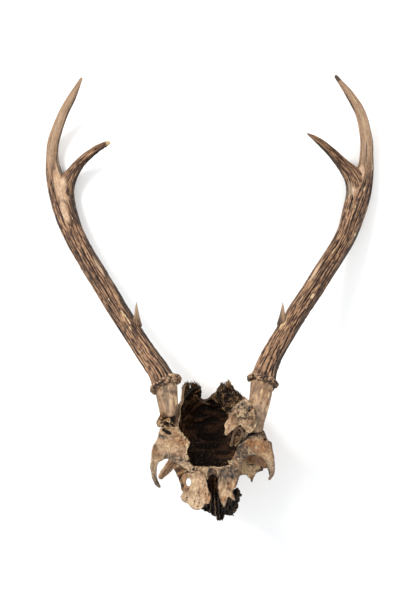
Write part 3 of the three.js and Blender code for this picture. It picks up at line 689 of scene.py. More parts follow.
left_beam = antler_relief(11, 0.63, 0.84, 0.9, 1.6, LEFT_CHIPS, LEFT_RUBS, LEFT_SHADE_STRIPES, 210, flare=2.0)
right_beam = antler_relief(47, 0.61, 0.83, 0.9, 1.6, RIGHT_CHIPS, RIGHT_RUBS, RIGHT_DARK_TIP_AND_SHADE, 170, flare=2.0)
left_fork = antler_relief(23, 0.9, 1.6, 0.7, 1.5, rubs=FORK_RUBS, fresh_end=0.955)
right_fork = antler_relief(53, 0.8, 1.5, 0.7, -1.4, rubs=FORK_RUBS)
left_brow = antler_relief(31, 0.3, 0.9, 0.5, 1.7)
right_brow = antler_relief(61, 0.3, 0.9, 0.5, -1.5)
limb_piece("beam_left", LEFT_ANTLER, 156, 0.62, left_beam, BEAM_ANTLER,
           ("beam_left", "main_tine_left"), cap=2.0, near=LEFT_FORK)
limb_piece("fork_tine_left", LEFT_FORK, 120, 0.5, left_fork, BEAM_ANTLER,
           ("fork_tine_left",), cap=1.2, near=LEFT_ANTLER)
limb_piece("brow_tine_left", LEFT_BROW, 64, 0.5, left_brow, BEAM_ANTLER,
           ("brow_tine_left",), near=LEFT_ANTLER)
limb_piece("beam_right", RIGHT_ANTLER, 156, 0.62, right_beam, BEAM_ANTLER,
           ("beam_right", "main_tine_right"), cap=2.0, near=RIGHT_FORK)
limb_piece("fork_tine_right", RIGHT_FORK, 120, 0.5, right_fork, BEAM_ANTLER,
           ("fork_tine_right",), cap=1.4, near=RIGHT_ANTLER)
limb_piece("brow_tine_right", RIGHT_BROW, 64, 0.5, right_brow, BEAM_ANTLER,
           ("brow_tine_right",), near=RIGHT_ANTLER)

BURR_RADIUS = 12.2  # from the axis to the middle of the ring
BURR_THICK = 2.4
BURR_HIGH = 2.2
BURR_AROUND = 280
BURR_SECTION = 84


def burr_piece(name, centre, axis, seed, node):
    """The beaded ring: a ring of oval section whose radius swells where round beads crowd on it."""
    around, section = BURR_AROUND, BURR_SECTION
    turn = np.linspace(0, 2 * np.pi, around, endpoint=False)[:, None]
    round_it = np.linspace(0, 2 * np.pi, section, endpoint=False)[None, :]
    axis = unit(np.asarray(axis, float))
    across = unit(np.cross(axis, [0, 0, 1.0]))
    over = np.cross(across, axis)
    radial = np.cos(turn)[..., None] * across + np.sin(turn)[..., None] * over
    ring_line = BURR_RADIUS * radial
    out = np.cos(round_it)[..., None] * radial + np.sin(round_it)[..., None] * axis * BURR_HIGH / BURR_THICK
    plain = ring_line + BURR_THICK * out
    beads = domes(plain, 3.6, seed, 0.66)
    small = domes(plain, 1.7, seed + 1, 0.62)
    swell = rough(plain, 8, seed + 2, 4)
    height = 1.2 * beads + 0.5 * small + 2.2 * swell - 0.6
    rows = np.asarray(centre) + plain + height[..., None] * unit(out)
    index = np.arange(around * section).reshape(around, section)
    step, side = np.roll(index, -1, 0), np.roll(index, -1, 1)
    quads = np.stack([index, side, np.roll(step, -1, 1), step], -1).reshape(-1, 4)
    marks = {
        "groove": np.clip(0.5 * beads + 0.5 * small + 0.4 * swell, 0, 1).ravel(),
        "chip": 0.8 * smooth(small * beads + 0.4 * swell, 0.85, 1.1).ravel(),
        # Painted shade, near black, in the gaps between the beads.
        "soot": smooth(0.3 - beads - 0.4 * swell, 0, 0.4).ravel(),
    }
    return make_piece(name, rows.reshape(-1, 3), quads, marks, BURR_ANTLER, (node,))


burr_piece("burr_left", (-39.4, -79.4, 91), (-0.43, 0.85, -0.31), 71, "burr_left")
burr_piece("burr_right", (47.6, -76.2, 91), (0.27, 0.915, -0.31), 83, "burr_right")

LEFT_STALK = [
    (-36.0, -105.2, 95, 7.2), (-36.0, -102.5, 96.2, 8.2), (-36.6, -97, 97, 9.0), (-37.6, -90, 95, 9.7),
    (-39, -79, 91, 10.6),
]
RIGHT_STALK = [
    (41.8, -121.5, 100, 5.0), (41.9, -116, 100.5, 6.4), (42.4, -107, 101, 8.2), (45, -92.6, 96.5, 9.8),
    (47.5, -76.2, 91, 10.8),
]
STALK_PATTERN_RADIUS = 8.5
BAR_PATTERN_RADIUS = 5.0


def stalk_relief(seed, warmth):
    """Relief of an antler stalk: low streaks along it, small dimples and a rough foot."""

    def relief(along, angle, radius, length):
        rod = straightened(along, angle, STALK_PATTERN_RADIUS)
        streaks = rough(rod, (2.2, 2.2, 11), seed, 3)
        lumps = rough(rod, (7, 7, 9), seed + 1, 3)
        dimples = pits(rod, (2.4, 2.4, 4), seed + 2, 0.34, 0.2)
        foot = 1 - smooth(along, 1, 9)
        height = 0.34 * streaks + 0.7 * lumps * (0.5 + foot) - 0.3 * dimples - 0.25
        brown = warmth * (0.35 + 0.65 * np.cos(angle))
        # Painted shade on the side of the stalk away from the light; the cream on the raised streaks is a
        # painted highlight.
        shaded_side = smooth(np.sin(angle), 0.3, 0.95)
        marks = {
            "pit": 0.6 * (dimples * smooth(lumps, 0, 0.5) + foot * smooth(lumps, 0.1, 0.5)),
            "cream": smooth(streaks * 0.8 + lumps * 0.4, 0.28, 0.5) * 0.9,
            "stain": 0.7 * smooth(-lumps - 0.5 * streaks, 0.15, 0.6) + 0.35 * shaded_side,
            "warm": brown * smooth(0.6 * lumps + 0.6 * streaks, 0.05, 0.45),
        }
        return height, marks

    return relief


limb_piece("pedicle_left", LEFT_STALK, 110, 0.5, stalk_relief(91, 0.3), STALK_BONE,
           ("pedicle_left",), cap=2.0)
limb_piece("pedicle_right", RIGHT_STALK, 110, 0.5, stalk_relief(97, 1.0), STALK_BONE,
           ("pedicle_right",), cap=2.0)

# ---- Braincase ---------------------------------------------------------------------------------

# The skull's own frame: x to the side, y towards the back of the head, z up from the neck knuckles.
NOSE_RAISE = np.radians(33)
SKULL_MIDDLE_X = 3.3
SKULL_PLACE = np.array([SKULL_MIDDLE_X, -108.5, 0])
CASE_CENTRE = np.array([0, -46, 41.0])
CASE_HALF = np.array([36, 50, 37.0])
CASE_BOXINESS = 2.6
CASE_SPAN = 40.0  # millimetres of the flat pattern per radian
CASE_TOP = 84.0
RIM_HEIGHT = 46.0  # below this the wall is whole
ROOF_HOLE = [
    (-22, -9), (-26, -14), (-27.5, -22), (-30, -34), (-31, -48), (-29.5, -60), (-26, -72), (-23, -84),
    (-22, -99), (19, -99), (20, -88), (25, -76), (28, -64), (29.5, -48), (28.5, -34), (27, -22), (22, -12),
    (14, -8.5), (-6, -6.5),
]
BACK_NOTCH = [
    (-12.5, 90), (-12.8, 56), (-10.6, 47), (-11.4, 31), (-9.5, 26.5), (-3.5, 26.5), (-1, 31), (3, 36),
    (5.4, 45), (8.6, 56), (9, 90),
]


def posed(points):
    """From the skull's own frame to the drawing: turned about X to raise the nose, then put in its place."""
    x, y, z = points[..., 0], points[..., 1], points[..., 2]
    turned = np.stack([x, y * np.cos(NOSE_RAISE) + z * np.sin(NOSE_RAISE),
                       z * np.cos(NOSE_RAISE) - y * np.sin(NOSE_RAISE)], -1)
    return turned + SKULL_PLACE


def case_place(a, b, inset):
    """A place on the braincase, inset from its outside, in the skull's own frame.

    The flat pattern (a, b) wraps round the case from its lowest point: distance is the angle, direction the
    bearing. The case is a boxy egg |x|n + |y|n + |z|n = 1 that narrows to the nose and drops a little at the
    back."""
    angle = np.hypot(a, b) / CASE_SPAN
    bearing = np.arctan2(b, a)
    ball = np.stack([np.sin(angle) * np.cos(bearing), -np.sin(angle) * np.sin(bearing), -np.cos(angle)], -1)
    fill = (np.abs(ball) ** CASE_BOXINESS).sum(-1, keepdims=True) ** (-1 / CASE_BOXINESS)
    half = CASE_HALF - (inset[..., None] if np.ndim(inset) else inset)
    place = CASE_CENTRE + ball * fill * half
    forward = smooth(-place[..., 1], 55, 100)
    backward = 1 - smooth(-place[..., 1], -4, 34)
    place[..., 0] *= 1 - 0.26 * forward - 0.15 * backward
    place[..., 2] -= 6 * backward * smooth(place[..., 2], 30, 75)
    return place


def case_depth(rag_size, rag, seed, raise_rim=0.0):
    """Kept part of the case: under the rim height or outside the roof's hole, clear of the back notch."""

    def depth(a, b):
        place = case_place(a, b, 1.5)
        x, y, z = place[..., 0], place[..., 1], place[..., 2]
        torn = rag * rough(place, rag_size, seed, 4)
        hole = -outline_depth(x, y, ROOF_HOLE) + torn
        kept = np.maximum(hole, RIM_HEIGHT + raise_rim - z + 0.5 * torn)
        at_back = np.where(y > -30, -outline_depth(x, z, BACK_NOTCH), 9) + 0.6 * torn
        return np.minimum(np.minimum(kept, at_back), CASE_TOP - z)

    return depth


def case_outside(a, b):
    """The weathered outside of the braincase: low lumps with a fine grain."""
    place = case_place(a, b, 0.8)
    lumps = rough(place, 13, 101, 4)
    height = 0.9 * lumps + 0.12 * rough(place, 1.8, 105, 2)
    out = unit(place - CASE_CENTRE)
    return posed(place + height[..., None] * out)


def toward_case_centre(front):
    """Unit ways from the braincase wall to its middle."""
    return unit(posed(CASE_CENTRE) - front)


def case_marks(a, b, inside, front):
    """Cream along the break, but dark at the back, grey stains on the lumps and warm patches between."""
    lumps = rough(front, 11, 107, 3)
    edge = near_edge(inside, 0.3, 1.6)
    back = smooth(front[..., 1], -104, -96)
    matted = back * smooth(front[..., 2], 38, 46) * smooth(rough(front, 2.4, 108, 3), -0.5, 0.3)
    pores = pits(front, 2.6, 109, 0.2, 0.1) * smooth(lumps, 0, 0.4)
    return {
        "pit": pores + 0.6 * edge * back + 0.8 * matted,
        "cream": 0.8 * edge * (1 - 0.8 * back),
        "stain": 0.75 * smooth(lumps, 0.05, 0.6) + back * smooth(front[..., 2], 38, 46),
        "warm": 0.5 * smooth(-lumps, 0.1, 0.5),
    }


case_grid = np.arange(-86, 86.1, 0.8)
sheet_piece("braincase", case_grid, case_grid, case_outside, case_depth(7, 1.1, 111), 2.2, case_marks,
            CRANIAL_BONE, ("braincase", "occiput"), 0.5, toward_case_centre)

LINING_INSET = 5.2
FOLD_HIGH = 1.4


def lining_folds(place):
    """Folds of the lining: grain drawn out sideways, and drawn out lengthwise low in the middle."""
    sway = rough(place, 16, 121, 2)[..., None] * np.array([2, 3.0, 3.0])
    crosswise = 1.2 * rough(place + sway, (13, 3.2, 3.2), 123, 2)
    lengthwise = 1.15 * rough(place + sway, (3.2, 14, 14), 127, 2)
    low = spread(place[..., 0], place[..., 1], (0, -74), (13, 20))
    return crosswise * (1 - low) + lengthwise * low


def lining_place(a, b):
    """The lining, seen from within (b is turned over): a smaller braincase, further in on the folds."""
    folds = lining_folds(case_place(a, -b, LINING_INSET))
    return posed(case_place(a, -b, LINING_INSET + FOLD_HIGH * folds))


def lining_marks(a, b, inside, front):
    """relief is a patchy painted sheen on the folds, and the furrows are left dark as painted shade; flecks
    are few low down and crowd near the rim.
    """
    place = case_place(a, -b, LINING_INSET)
    folds = lining_folds(place)
    sheen = 0.6 + 0.4 * smooth(rough(place, 15, 129, 2), -0.4, 0.5)
    return {"relief": smooth(folds, -0.2, 0.5) * sheen, "fleck": 0.2 + 0.8 * (1 - smooth(inside, 1, 14))}


lining_edge = case_depth(5, 1.3, 131, 1.5)
lining_grid = np.arange(-80, 80.1, 0.62)
sheet_piece("brain_lining", lining_grid, lining_grid, lining_place, lambda a, b: lining_edge(a, -b), 0.6,
            lining_marks, LINING_SKIN, (), 0.1, lambda front: -toward_case_centre(front))

EGG_AROUND = 72
EGG_RINGS = 44


def egg_piece(name, centre, half, relief, material, replaced=(), turned=True):
    """A closed egg: centre + half * (unit ball) + relief * (unit ball), turned with the skull or not."""
    lift = np.linspace(0, np.pi, EGG_RINGS + 2)[1:-1][:, None]
    turn = np.linspace(0, 2 * np.pi, EGG_AROUND, endpoint=False)[None, :]
    ball = np.stack([np.sin(lift) * np.cos(turn), np.sin(lift) * np.sin(turn), np.cos(lift) + 0 * turn], -1)
    plain = np.asarray(centre) + ball * half
    height, marks = relief(plain)
    rows = plain + ball * height[..., None]
    ends = np.asarray(centre) + np.array([[0, 0, 1.0], [0, 0, -1.0]]) * half
    points = np.concatenate([rows.reshape(-1, 3), ends])
    quads, fans = tube_faces(EGG_RINGS, EGG_AROUND)
    marks = {k: np.append(v.ravel(), v.ravel()[[0, -1]]) for k, v in marks.items()}
    quads, fans = quads[:, ::-1], fans[:, ::-1]
    return make_piece(name, posed(points) if turned else points, quads, marks, material, replaced, fans)


def knuckle_relief(seed):
    """Smooth worn bone with a few soft dents."""

    def relief(place):
        lumps = rough(place, 9, seed, 3)
        marks = {"cream": 0.5 * smooth(lumps, 0.1, 0.6), "stain": 0.6 * smooth(-lumps, 0, 0.6),
                 "warm": 0.2 + 0 * lumps}
        return 0.5 * lumps - 0.3, marks

    return relief


for side, word in ((-1, "left"), (1, "right")):
    egg_piece(f"neck_knuckle_{word}", (side * 14.5, 0.5, 11.5), (8.5, 9.5, 11.5), knuckle_relief(141 + side),
              CRANIAL_BONE)
    egg_piece(f"ear_bulla_{word}", (side * 20, -31, 3.4), (7.5, 11, 7.2), knuckle_relief(151 + side),
              CRANIAL_BONE, (f"ear_bulla_{word}",))


def bar_relief(seed, high=0.6, cream=0.5):
    """Relief of a bar of bone: long low lumps, fine streaks, cream where it is rubbed."""

    def relief(along, angle, radius, length):
        rod = straightened(along, angle, BAR_PATTERN_RADIUS)
        lumps = rough(rod, (4, 4, 9), seed, 3)
        streaks = rough(rod, (1.4, 1.4, 8), seed + 1, 2)
        height = high * lumps * np.minimum(1, radius / 3) + 0.15 * streaks - 0.2
        marks = {
            "pit": 0.4 * smooth(streaks, 0.45, 0.7),
            "cream": cream * smooth(lumps, 0, 0.5),
            "stain": 0.6 * smooth(-lumps, 0.1, 0.6),
            "warm": 0.3 * smooth(streaks, 0, 0.5),
        }
        return height, marks

    return relief


def posed_stations(stations):
    """Stations in the skull's own frame, turned with it; the radius rides along."""
    stations = np.asarray(stations, float)
    return np.column_stack([posed(stations[:, :3]), stations[:, 3]])


SKULL_BASE = posed_stations([
    (0, -28, 1, 5), (0, -30, 1, 6), (0, -56, 1.5, 5.5), (0, -80, 7, 5.5), (0, -98, 16, 4.6),
])
limb_piece("skull_base", SKULL_BASE, 64, 0.7, bar_relief(165), CRANIAL_BONE, ("skull_base",),
           cap=3.0)
LEFT_BROKEN_RIM = [
    (-20.3, -77.8, 53, 0.8), (-21.4, -79.6, 53.5, 1.4), (-22.9, -82.6, 54, 1.5), (-23.6, -86.5, 56, 1.2),
    (-24.2, -91.7, 58, 1.5), (-24.5, -95.4, 62, 1.5), (-26.4, -100.2, 70, 1.2), (-28.0, -105.1, 80, 1.3),
    (-28.8, -111.1, 90, 1.2), (-29.2, -117.5, 99, 1.3),
]
limb_piece("broken_rim_left", LEFT_BROKEN_RIM, 36, 0.4, bar_relief(161, 0.7, 0.9), NOSE_BONE)
BACK_SLIVER = [
    (-8.6, -95.2, 40.5, 0.3), (-5, -96.8, 40, 0.6), (-1.4, -98.2, 39.5, 0.55), (1.2, -98.2, 39.5, 0.3),
]
limb_piece("broken_rim_back", BACK_SLIVER, 24, 0.3, bar_relief(163, 0.3, 1.2), NOSE_BONE,
           cap=0.6)
for side, word in ((-1, "left"), (1, "right")):
    wing = posed_stations([(side * 4, -58, 3, 3), (side * 9, -74, 2, 3.6), (side * 10.5, -92, 9, 2.4)])
    limb_piece(f"palate_wing_{word}", wing, 40, 0.6, bar_relief(167 + side), CRANIAL_BONE,
               cap=1.5, flatten=1.8)
    spur = posed_stations([(side * 25, -12, 24, 5), (side * 26.5, -8, 10, 4), (side * 25.5, -7, 1, 2.4)])
    limb_piece(f"neck_spur_{word}", spur, 36, 0.5, bar_relief(171 + side), CRANIAL_BONE,
               cap=1.5, flatten=0.6)
CHEEK_ROOT = posed_stations([(28, -56, 33, 6), (36, -60, 33, 5), (41, -64, 33.5, 3)])
limb_piece("cheek_root_right", CHEEK_ROOT, 48, 0.5, bar_relief(175, 1.0), CRANIAL_BONE, cap=2.0)

# ---- Forehead and eye sockets ------------------------------------------------------------------


def forehead(x, y):
    """Height of the forehead: a low arch from front to back that falls away to the sides.

    It is 117 plus a rise in step with the way forward, less the square of that way, and less the square of
    how far it lies aside, past 20 mm from the middle line."""
    forward = -151 - y
    aside = np.maximum(0, np.abs(x - SKULL_MIDDLE_X) - 20) / 32
    return 117 + 0.238 * forward - 0.00419 * forward**2 - 16 * aside**2


LEFT_FRONTAL = [
    (-43.4, -117.5), (-44.5, -119.9), (-45.5, -123.8), (-46.8, -127.7), (-48.5, -130.7), (-50.4, -133.6),
    (-51.0, -138.6), (-51.8, -143.7), (-52.4, -148.8), (-52.5, -154.0), (-51.8, -159.2), (-50.5, -164.5),
    (-48.5, -169.3), (-46.0, -172.4), (-43.4, -172.2), (-44.2, -169.0), (-45.8, -165.6), (-46.6, -161.9),
    (-46.8, -158.1), (-46.4, -152.9), (-44.9, -148.7), (-41.3, -145.9), (-36.8, -144.9), (-32.8, -146.1),
    (-28.3, -148.4), (-23.4, -151.7), (-18.0, -155.0), (-14.6, -156.5), (-12.1, -154.0), (-12.6, -151.1),
    (-16.3, -148.2), (-18.3, -142.9), (-19.7, -138.6), (-18.5, -134.8), (-17.1, -130.9), (-18.7, -127.1),
    (-22.0, -123.7), (-25.3, -120.6), (-28.4, -117.5), (-33.4, -116.7), (-38.4, -115.8),
]
LEFT_RIM = [
    (-43.5, -118.5, 97.0, 1), (-48, -133, 98.5, 1), (-49.8, -147, 95.0, 1), (-49.4, -158, 86.5, 1),
    (-47.0, -166, 77.5, 1), (-44.6, -172.2, 71.0, 1),
]
RIGHT_FRONTAL = [
    (36.1, -120.5), (40.1, -118.6), (46.6, -118.5), (49.6, -121.9), (52.4, -128.5), (55.0, -129.8),
    (56.3, -134.7), (57.6, -141.7), (58.5, -148.8), (58.8, -154.9), (58.4, -159.1), (56.8, -162.4),
    (55.2, -164.9), (53.2, -164.4), (53.6, -160.9), (53.0, -157.1), (51.7, -152.8), (50.2, -149.1),
    (47.6, -145.6), (43.4, -142.6), (37.5, -141.7), (32.5, -143.0), (29.5, -145.9), (27.8, -149.7),
    (26.6, -154.1), (24.1, -156.0), (20.7, -155.0), (18.2, -151.1), (17.5, -148.7), (16.0, -145.2),
    (18.6, -145.8), (21.2, -142.0), (23.5, -137.6), (24.7, -133.3), (27.9, -129.8), (31.6, -127.1),
    (33.6, -124.0),
]
RIGHT_CREVICE = [
    (27.5, -130.6, 0.4), (31.2, -127.8, 0.8), (33.8, -125, 1.0), (35.8, -123.2, 1.0), (38.8, -121.9, 1.1),
    (41.3, -120.9, 1.0), (46.5, -120.4, 0.5),
]
RIGHT_RIM = [
    (50.5, -122.5, 97.0, 1), (54.2, -133, 98.0, 1), (56.4, -146, 94.5, 1), (56.8, -155, 87.0, 1),
    (54.4, -164.9, 75.5, 1),
]
LEFT_CELL_EDGE = [
    (-28.4, -118, 1.9), (-22.5, -123.6, 2.2), (-17.8, -129.5, 3.0), (-19.0, -138.0, 2.6), (-17.2, -145, 3.0),
    (-13.2, -152, 3.0),
]
RIGHT_CELL_EDGE = [(36, -124.5, 1.2), (25, -133, 1.8), (21, -142, 1.8), (17.5, -147, 2.2), (18.5, -152, 2.4)]


def brow_height(x, y, rim):
    """The forehead, drawn down to the rim of the eye socket near that rim and beyond it."""
    off, values = chain_depth(np.stack([x, y], -1), rim)
    share = smooth(off, -17, -2)
    return forehead(x, y) * (1 - share) + values[..., 2] * share


GRID_MARGIN = 1.2


def grid_over(outline, step):
    """Even grid lines that cover an outline."""
    low, high = np.min(outline, axis=0) - GRID_MARGIN, np.max(outline, axis=0) + GRID_MARGIN
    return np.arange(low[0], high[0], step), np.arange(low[1], high[1], step)


def ragged(outline, rag, size, seed):
    """Depth inside an outline whose edge is torn by grain."""
    return lambda x, y: outline_depth(x, y, outline) + rag * rough(flat_points(x, y), size, seed, 4)


def flat_sheet(name, outline, step, height, torn, thickness, marks, material, replaced=(),
               edge_round=0.5):
    """A broken sheet of height(x, y) over a flat outline. torn is its depth, or the numbers ragged takes."""

    def place(x, y):
        return np.stack([x, y, height(x, y)], -1)

    depth = torn if callable(torn) else ragged(outline, *torn)
    u, v = grid_over(outline, step)
    sheet_piece(name, u, v, place, depth, thickness, marks, material, replaced, edge_round)


def honeycomb(x, y, edge, seed):
    """Cells of spongy bone in a band along an edge: how strong the band is, and how deep in a cell."""
    band = smooth(path_depth(x, y, edge), -0.6, 1.2)
    flat = flat_points(x, y)
    cell = pits(flat + rough(flat, 3, seed + 2, 2)[..., None], 2.8, seed, 0.54, 0.16)
    return band, band * cell * smooth(rough(flat, 5, seed + 1, 2), -0.7, 0.2)


def crack_lines(x, y, size, width, seed, sway_seed):
    """1 along fine wavering cracks, where grain of the given size passes through 0, and 0 beside them."""
    flat = flat_points(x, y)
    level = np.abs(grain(flat + rough(flat, 6, sway_seed, 2)[..., None], size, seed))
    return smooth(width - level, 0, width)


VESSEL_PIT = (-36.6, -121.6)
VESSEL_TURN = (0.93, 0.36)  # cosine and sine of the pit's slant


def vessel_pit(x, y):
    """The slanted pit where a vessel left the bone above the left eye: an oval with a small second mouth."""
    turn, lean = VESSEL_TURN
    off_x, off_y = x - VESSEL_PIT[0], y - VESSEL_PIT[1]
    along, across = turn * off_x - lean * off_y, lean * off_x + turn * off_y
    return spread(along, across, (0, 0), (4.0, 1.9)) + 0.7 * spread(x, y, (-40.4, -119.0), (1.8, 1.3))


LEFT_CELL_RING = (-13.9, -153.0)  # one large cell with a raised wall
HORN_GROOVE = [(-49.2, -141, 0.3), (-49.6, -150, 0.7), (-49.4, -158, 0.7), (-46.4, -168.5, 0.5)]
# Soft spots: strength, centre, reach.
# In the left brow, the spots at (-36, -142) along the socket's upper edge and at (-44, -124) are painted
# shade; the rest are stains.
LEFT_BROW_STAINS_AND_SHADE = [
    (1.0, (-27.5, -145.5), (9, 3.6)), (0.9, (-36, -125.2), (7, 2.2)), (0.5, (-22, -135), (4, 6)),
    (0.5, (-44, -124), (3, 5)), (0.6, (-36, -142), (10, 2.6)),
]
RIGHT_BROW_STAINS = [
    (1.3, (30.5, -135.5), (6, 4.0)), (1.2, (31, -140.5), (8, 2.6)), (1.0, (25.5, -138), (3, 6)),
    (1.2, (35, -124.6), (10, 1.6)), (0.8, (24, -150), (5, 5)), (0.8, (46, -123), (6, 2.2)),
    (0.6, (29, -130), (4, 4)), (0.5, (33, -137), (7, 6)),
]


def left_brow_height(x, y):
    """Left forehead bone: soft lumps, fine cracks, cells along the break, the vessel pit above the eye."""
    flat = flat_points(x, y)
    band, cell = honeycomb(x, y, LEFT_CELL_EDGE, 181)
    gutter = spread(x, y, (-33, -141), (10, 4.5)) - 0.6 * spread(x, y, (-38, -131), (9, 5))
    crack = crack_lines(x, y, (9, 16, 9), 0.07, 183, 187)
    groove = smooth(path_depth(x, y, HORN_GROOVE), -0.5, 0.5)
    height = brow_height(x, y, LEFT_RIM) + 1.1 * rough(flat, 12, 185, 4) + 0.16 * rough(flat, 1.6, 189, 2)
    height = height - 3.6 * vessel_pit(x, y) - 1.8 * gutter - 2.0 * cell + 0.9 * band
    height = height - 0.35 * crack - 0.7 * groove - 2.2 * spread(x, y, LEFT_CELL_RING, (1.6, 1.6))
    height = height + 0.9 * spread(x, y, LEFT_CELL_RING, (3.2, 3.2))
    return height


def left_brow_marks(x, y, inside, front):
    """Painted shade in the cells and pit, cream walls between the cells, grey stain low at the break, painted
    shade in the low waves and along the socket, painted highlights on the raised waves and in the middle,
    warm patches.
    """
    flat = flat_points(x, y)
    band, cell = honeycomb(x, y, LEFT_CELL_EDGE, 181)
    lumps = rough(flat, 7, 191, 4)
    waves = rough(flat, 12, 185, 4)
    edge = near_edge(inside, 0.2, 1.0)
    front_edge = near_edge(inside, 0.4, 1.4) * smooth(-y, 140, 146)
    mouth = smooth(spread(x, y, LEFT_CELL_RING, (1.7, 1.7)), 0.35, 0.7)
    wall = ring(x, y, LEFT_CELL_RING, (3.1, 3.1), 26.7)
    dark = spots(x, y, LEFT_BROW_STAINS_AND_SHADE) + 0.8 * smooth(path_depth(x, y, HORN_GROOVE), -0.6, 0.5)
    # The -waves term paints shade in the low waves of the bone; in the cream list, the waves term and the
    # spot at (-36, -135) paint highlights.
    stain = dark * (0.95 + 0.8 * lumps) + 0.6 * smooth(lumps, 0.3, 0.8) + 0.5 * smooth(-waves, 0.1, 0.5)
    return {
        "pit": 0.95 * cell + smooth(vessel_pit(x, y), 0.35, 0.6) + 0.7 * front_edge * smooth(lumps, -0.3, 0.2)
               + mouth + 0.75 * wall,
        "cream": 0.9 * band * smooth(rough(flat, 2.4, 198, 3), -0.5, 0.2)
                 + 0.7 * edge * smooth(lumps, -0.3, 0.3)
                 + 0.45 * smooth(rough(flat, 3.5, 197, 3), 0.3, 0.7) + 0.4 * spread(x, y, (-36, -135), (8, 4))
                 + 0.4 * smooth(waves, 0.1, 0.5),
        "stain": np.clip(stain, 0, 1) * (1 - 0.6 * band),
        "warm": 0.35 * spread(x, y, (-38, -132), (7, 9)) + 0.6 * spread(x, y, (-31, -121), (5, 3))
                + 0.8 * spread(x, y, (-24.5, -129), (5, 7)) * smooth(lumps, -0.5, 0.4),
    }


def bone_thickness(middle, edge, x0):
    """Thick near the middle line of the head, thinner towards the socket."""
    return lambda x, y: middle + (edge - middle) * smooth(np.abs(x - SKULL_MIDDLE_X), x0, x0 + 22)


flat_sheet("frontal_left", LEFT_FRONTAL, 0.36, left_brow_height, (0.55, 2.6, 193),
           bone_thickness(7.5, 4.2, 24), left_brow_marks, CRANIAL_BONE,
           ("frontal_left", "orbit_rim_left"), 1.5)

BROW_NICK = (49.6, -127.8)  # a deep nick in the outer edge of the right brow


def right_brow_height(x, y):
    """Right forehead bone: a soft saddle behind the eye, lumps, fine cracks, a few cells along the break."""
    flat = flat_points(x, y)
    cell = honeycomb(x, y, RIGHT_CELL_EDGE, 201)[1]
    crack = crack_lines(x, y, (12, 9, 9), 0.06, 203, 207)
    crevice = smooth(path_depth(x, y, RIGHT_CREVICE), -1, 0.8)
    height = brow_height(x, y, RIGHT_RIM) + 1.2 * rough(flat, 12, 205, 4) + 0.16 * rough(flat, 1.6, 209, 2)
    height = height - 1.5 * cell - 0.3 * crack - 2.0 * spread(x, y, (42, -131), (9, 5))
    height = height - 3.4 * spread(x, y, BROW_NICK, (1.2, 1.6)) + 1.6 * spread(x, y, (52.5, -127.4), (2.4, 3))
    height = height - 4.5 * smooth(-y, 146, 155) * (x < 33) - 3.5 * crevice
    return height


def right_brow_marks(x, y, inside, front):
    """Grey-black stain at the inner edge and below the stalk, painted shade in the cells, nick, crevice and
    low waves, cream along the break, painted highlights on the raised outer waves, warm outer part.
    """
    flat = flat_points(x, y)
    band, cell = honeycomb(x, y, RIGHT_CELL_EDGE, 201)
    lumps = rough(flat, 6, 211, 4)
    waves = rough(flat, 12, 205, 4)
    outer_edge = near_edge(inside, 0.5, 1.6) * smooth(x, 30, 36) * smooth(lumps, -0.4, 0.1)
    nick = smooth(spread(x, y, BROW_NICK, (1.3, 1.8)), 0.35, 0.8)
    crevice = smooth(path_depth(x, y, RIGHT_CREVICE), -0.6, 0.3)
    # Painted shade: near black in the cells, the nick and the crevice, grey in the low waves; the waves term
    # in the cream list paints highlights.
    return {
        "pit": 0.9 * cell + 0.75 * outer_edge + nick + 0.95 * crevice,
        "cream": 0.95 * band * near_edge(inside, 0.3, 1.8) * smooth(lumps, -0.4, 0.3)
                 + 0.5 * smooth(rough(flat, 3.2, 217, 3), 0.3, 0.7)
                 + 0.5 * smooth(waves, 0.1, 0.5) * smooth(x, 40, 48),
        "stain": spots(x, y, RIGHT_BROW_STAINS) * (1.1 + 0.9 * lumps) + 0.5 * smooth(-waves, 0.15, 0.5),
        "warm": spread(x, y, (38, -130), (8, 3)) + 0.6 * spread(x, y, (46, -137), (8, 5))
                + 0.4 * smooth(-lumps, 0.1, 0.6),
    }


flat_sheet("frontal_right", RIGHT_FRONTAL, 0.36, right_brow_height, (0.45, 3.0, 213),
           bone_thickness(7.0, 4.0, 26), right_brow_marks, CRANIAL_BONE,
           ("frontal_right", "orbit_rim_right"), 1.5)

LEFT_BREAK = [
    (-39.2, -102.8), (-43.3, -103.9), (-44.9, -107.6), (-45.4, -110.6), (-46.8, -112.0), (-46.2, -115.4),
    (-43.7, -117.0), (-40.6, -116.6), (-38.7, -118.1), (-34.2, -117.6), (-31.5, -119.6), (-28.6, -120.0),
    (-27.6, -117.4), (-30.2, -114.8), (-33.0, -112.6), (-35.0, -108.6), (-36.0, -104.6),
]
BREAK_CLEFTS = [[(-41.5, -112.6, 0.3), (-38, -113.9, 1.0), (-34.2, -115.4, 1.2), (-31.0, -116.4, 0.6)],
                [(-45.6, -110.4, 0.3), (-42, -110.2, 0.5), (-38.5, -108.2, 0.5), (-36, -106.5, 0.8)]]


def break_shelf(x, y):
    """1 on the torn shelves and 0 in the clefts between them, which waver across the break."""
    flat = flat_points(x, y)
    place = np.stack([x, y], -1) + 1.4 * rough(flat, 2.6, 222, 3)[..., None]
    inside = np.maximum(*[chain_depth(place, cleft)[0] for cleft in BREAK_CLEFTS])
    return 1 - smooth(inside, -0.5, 0.4)


def break_cells(flat):
    """1 in the deep cells of the broken bone, 0 on their walls."""
    return pits(flat, 2.8, 221, 0.5, 0.25)


def break_height(x, y):
    """Broken spongy bone beside the stalk: deep cells and torn walls."""
    flat = flat_points(x, y)
    height = 96.5 + 3.4 * break_shelf(x, y) + 2.6 * rough(flat, 4, 223, 4) - 2.0 * break_cells(flat)
    return height + 4 * smooth(y, -109, -103)


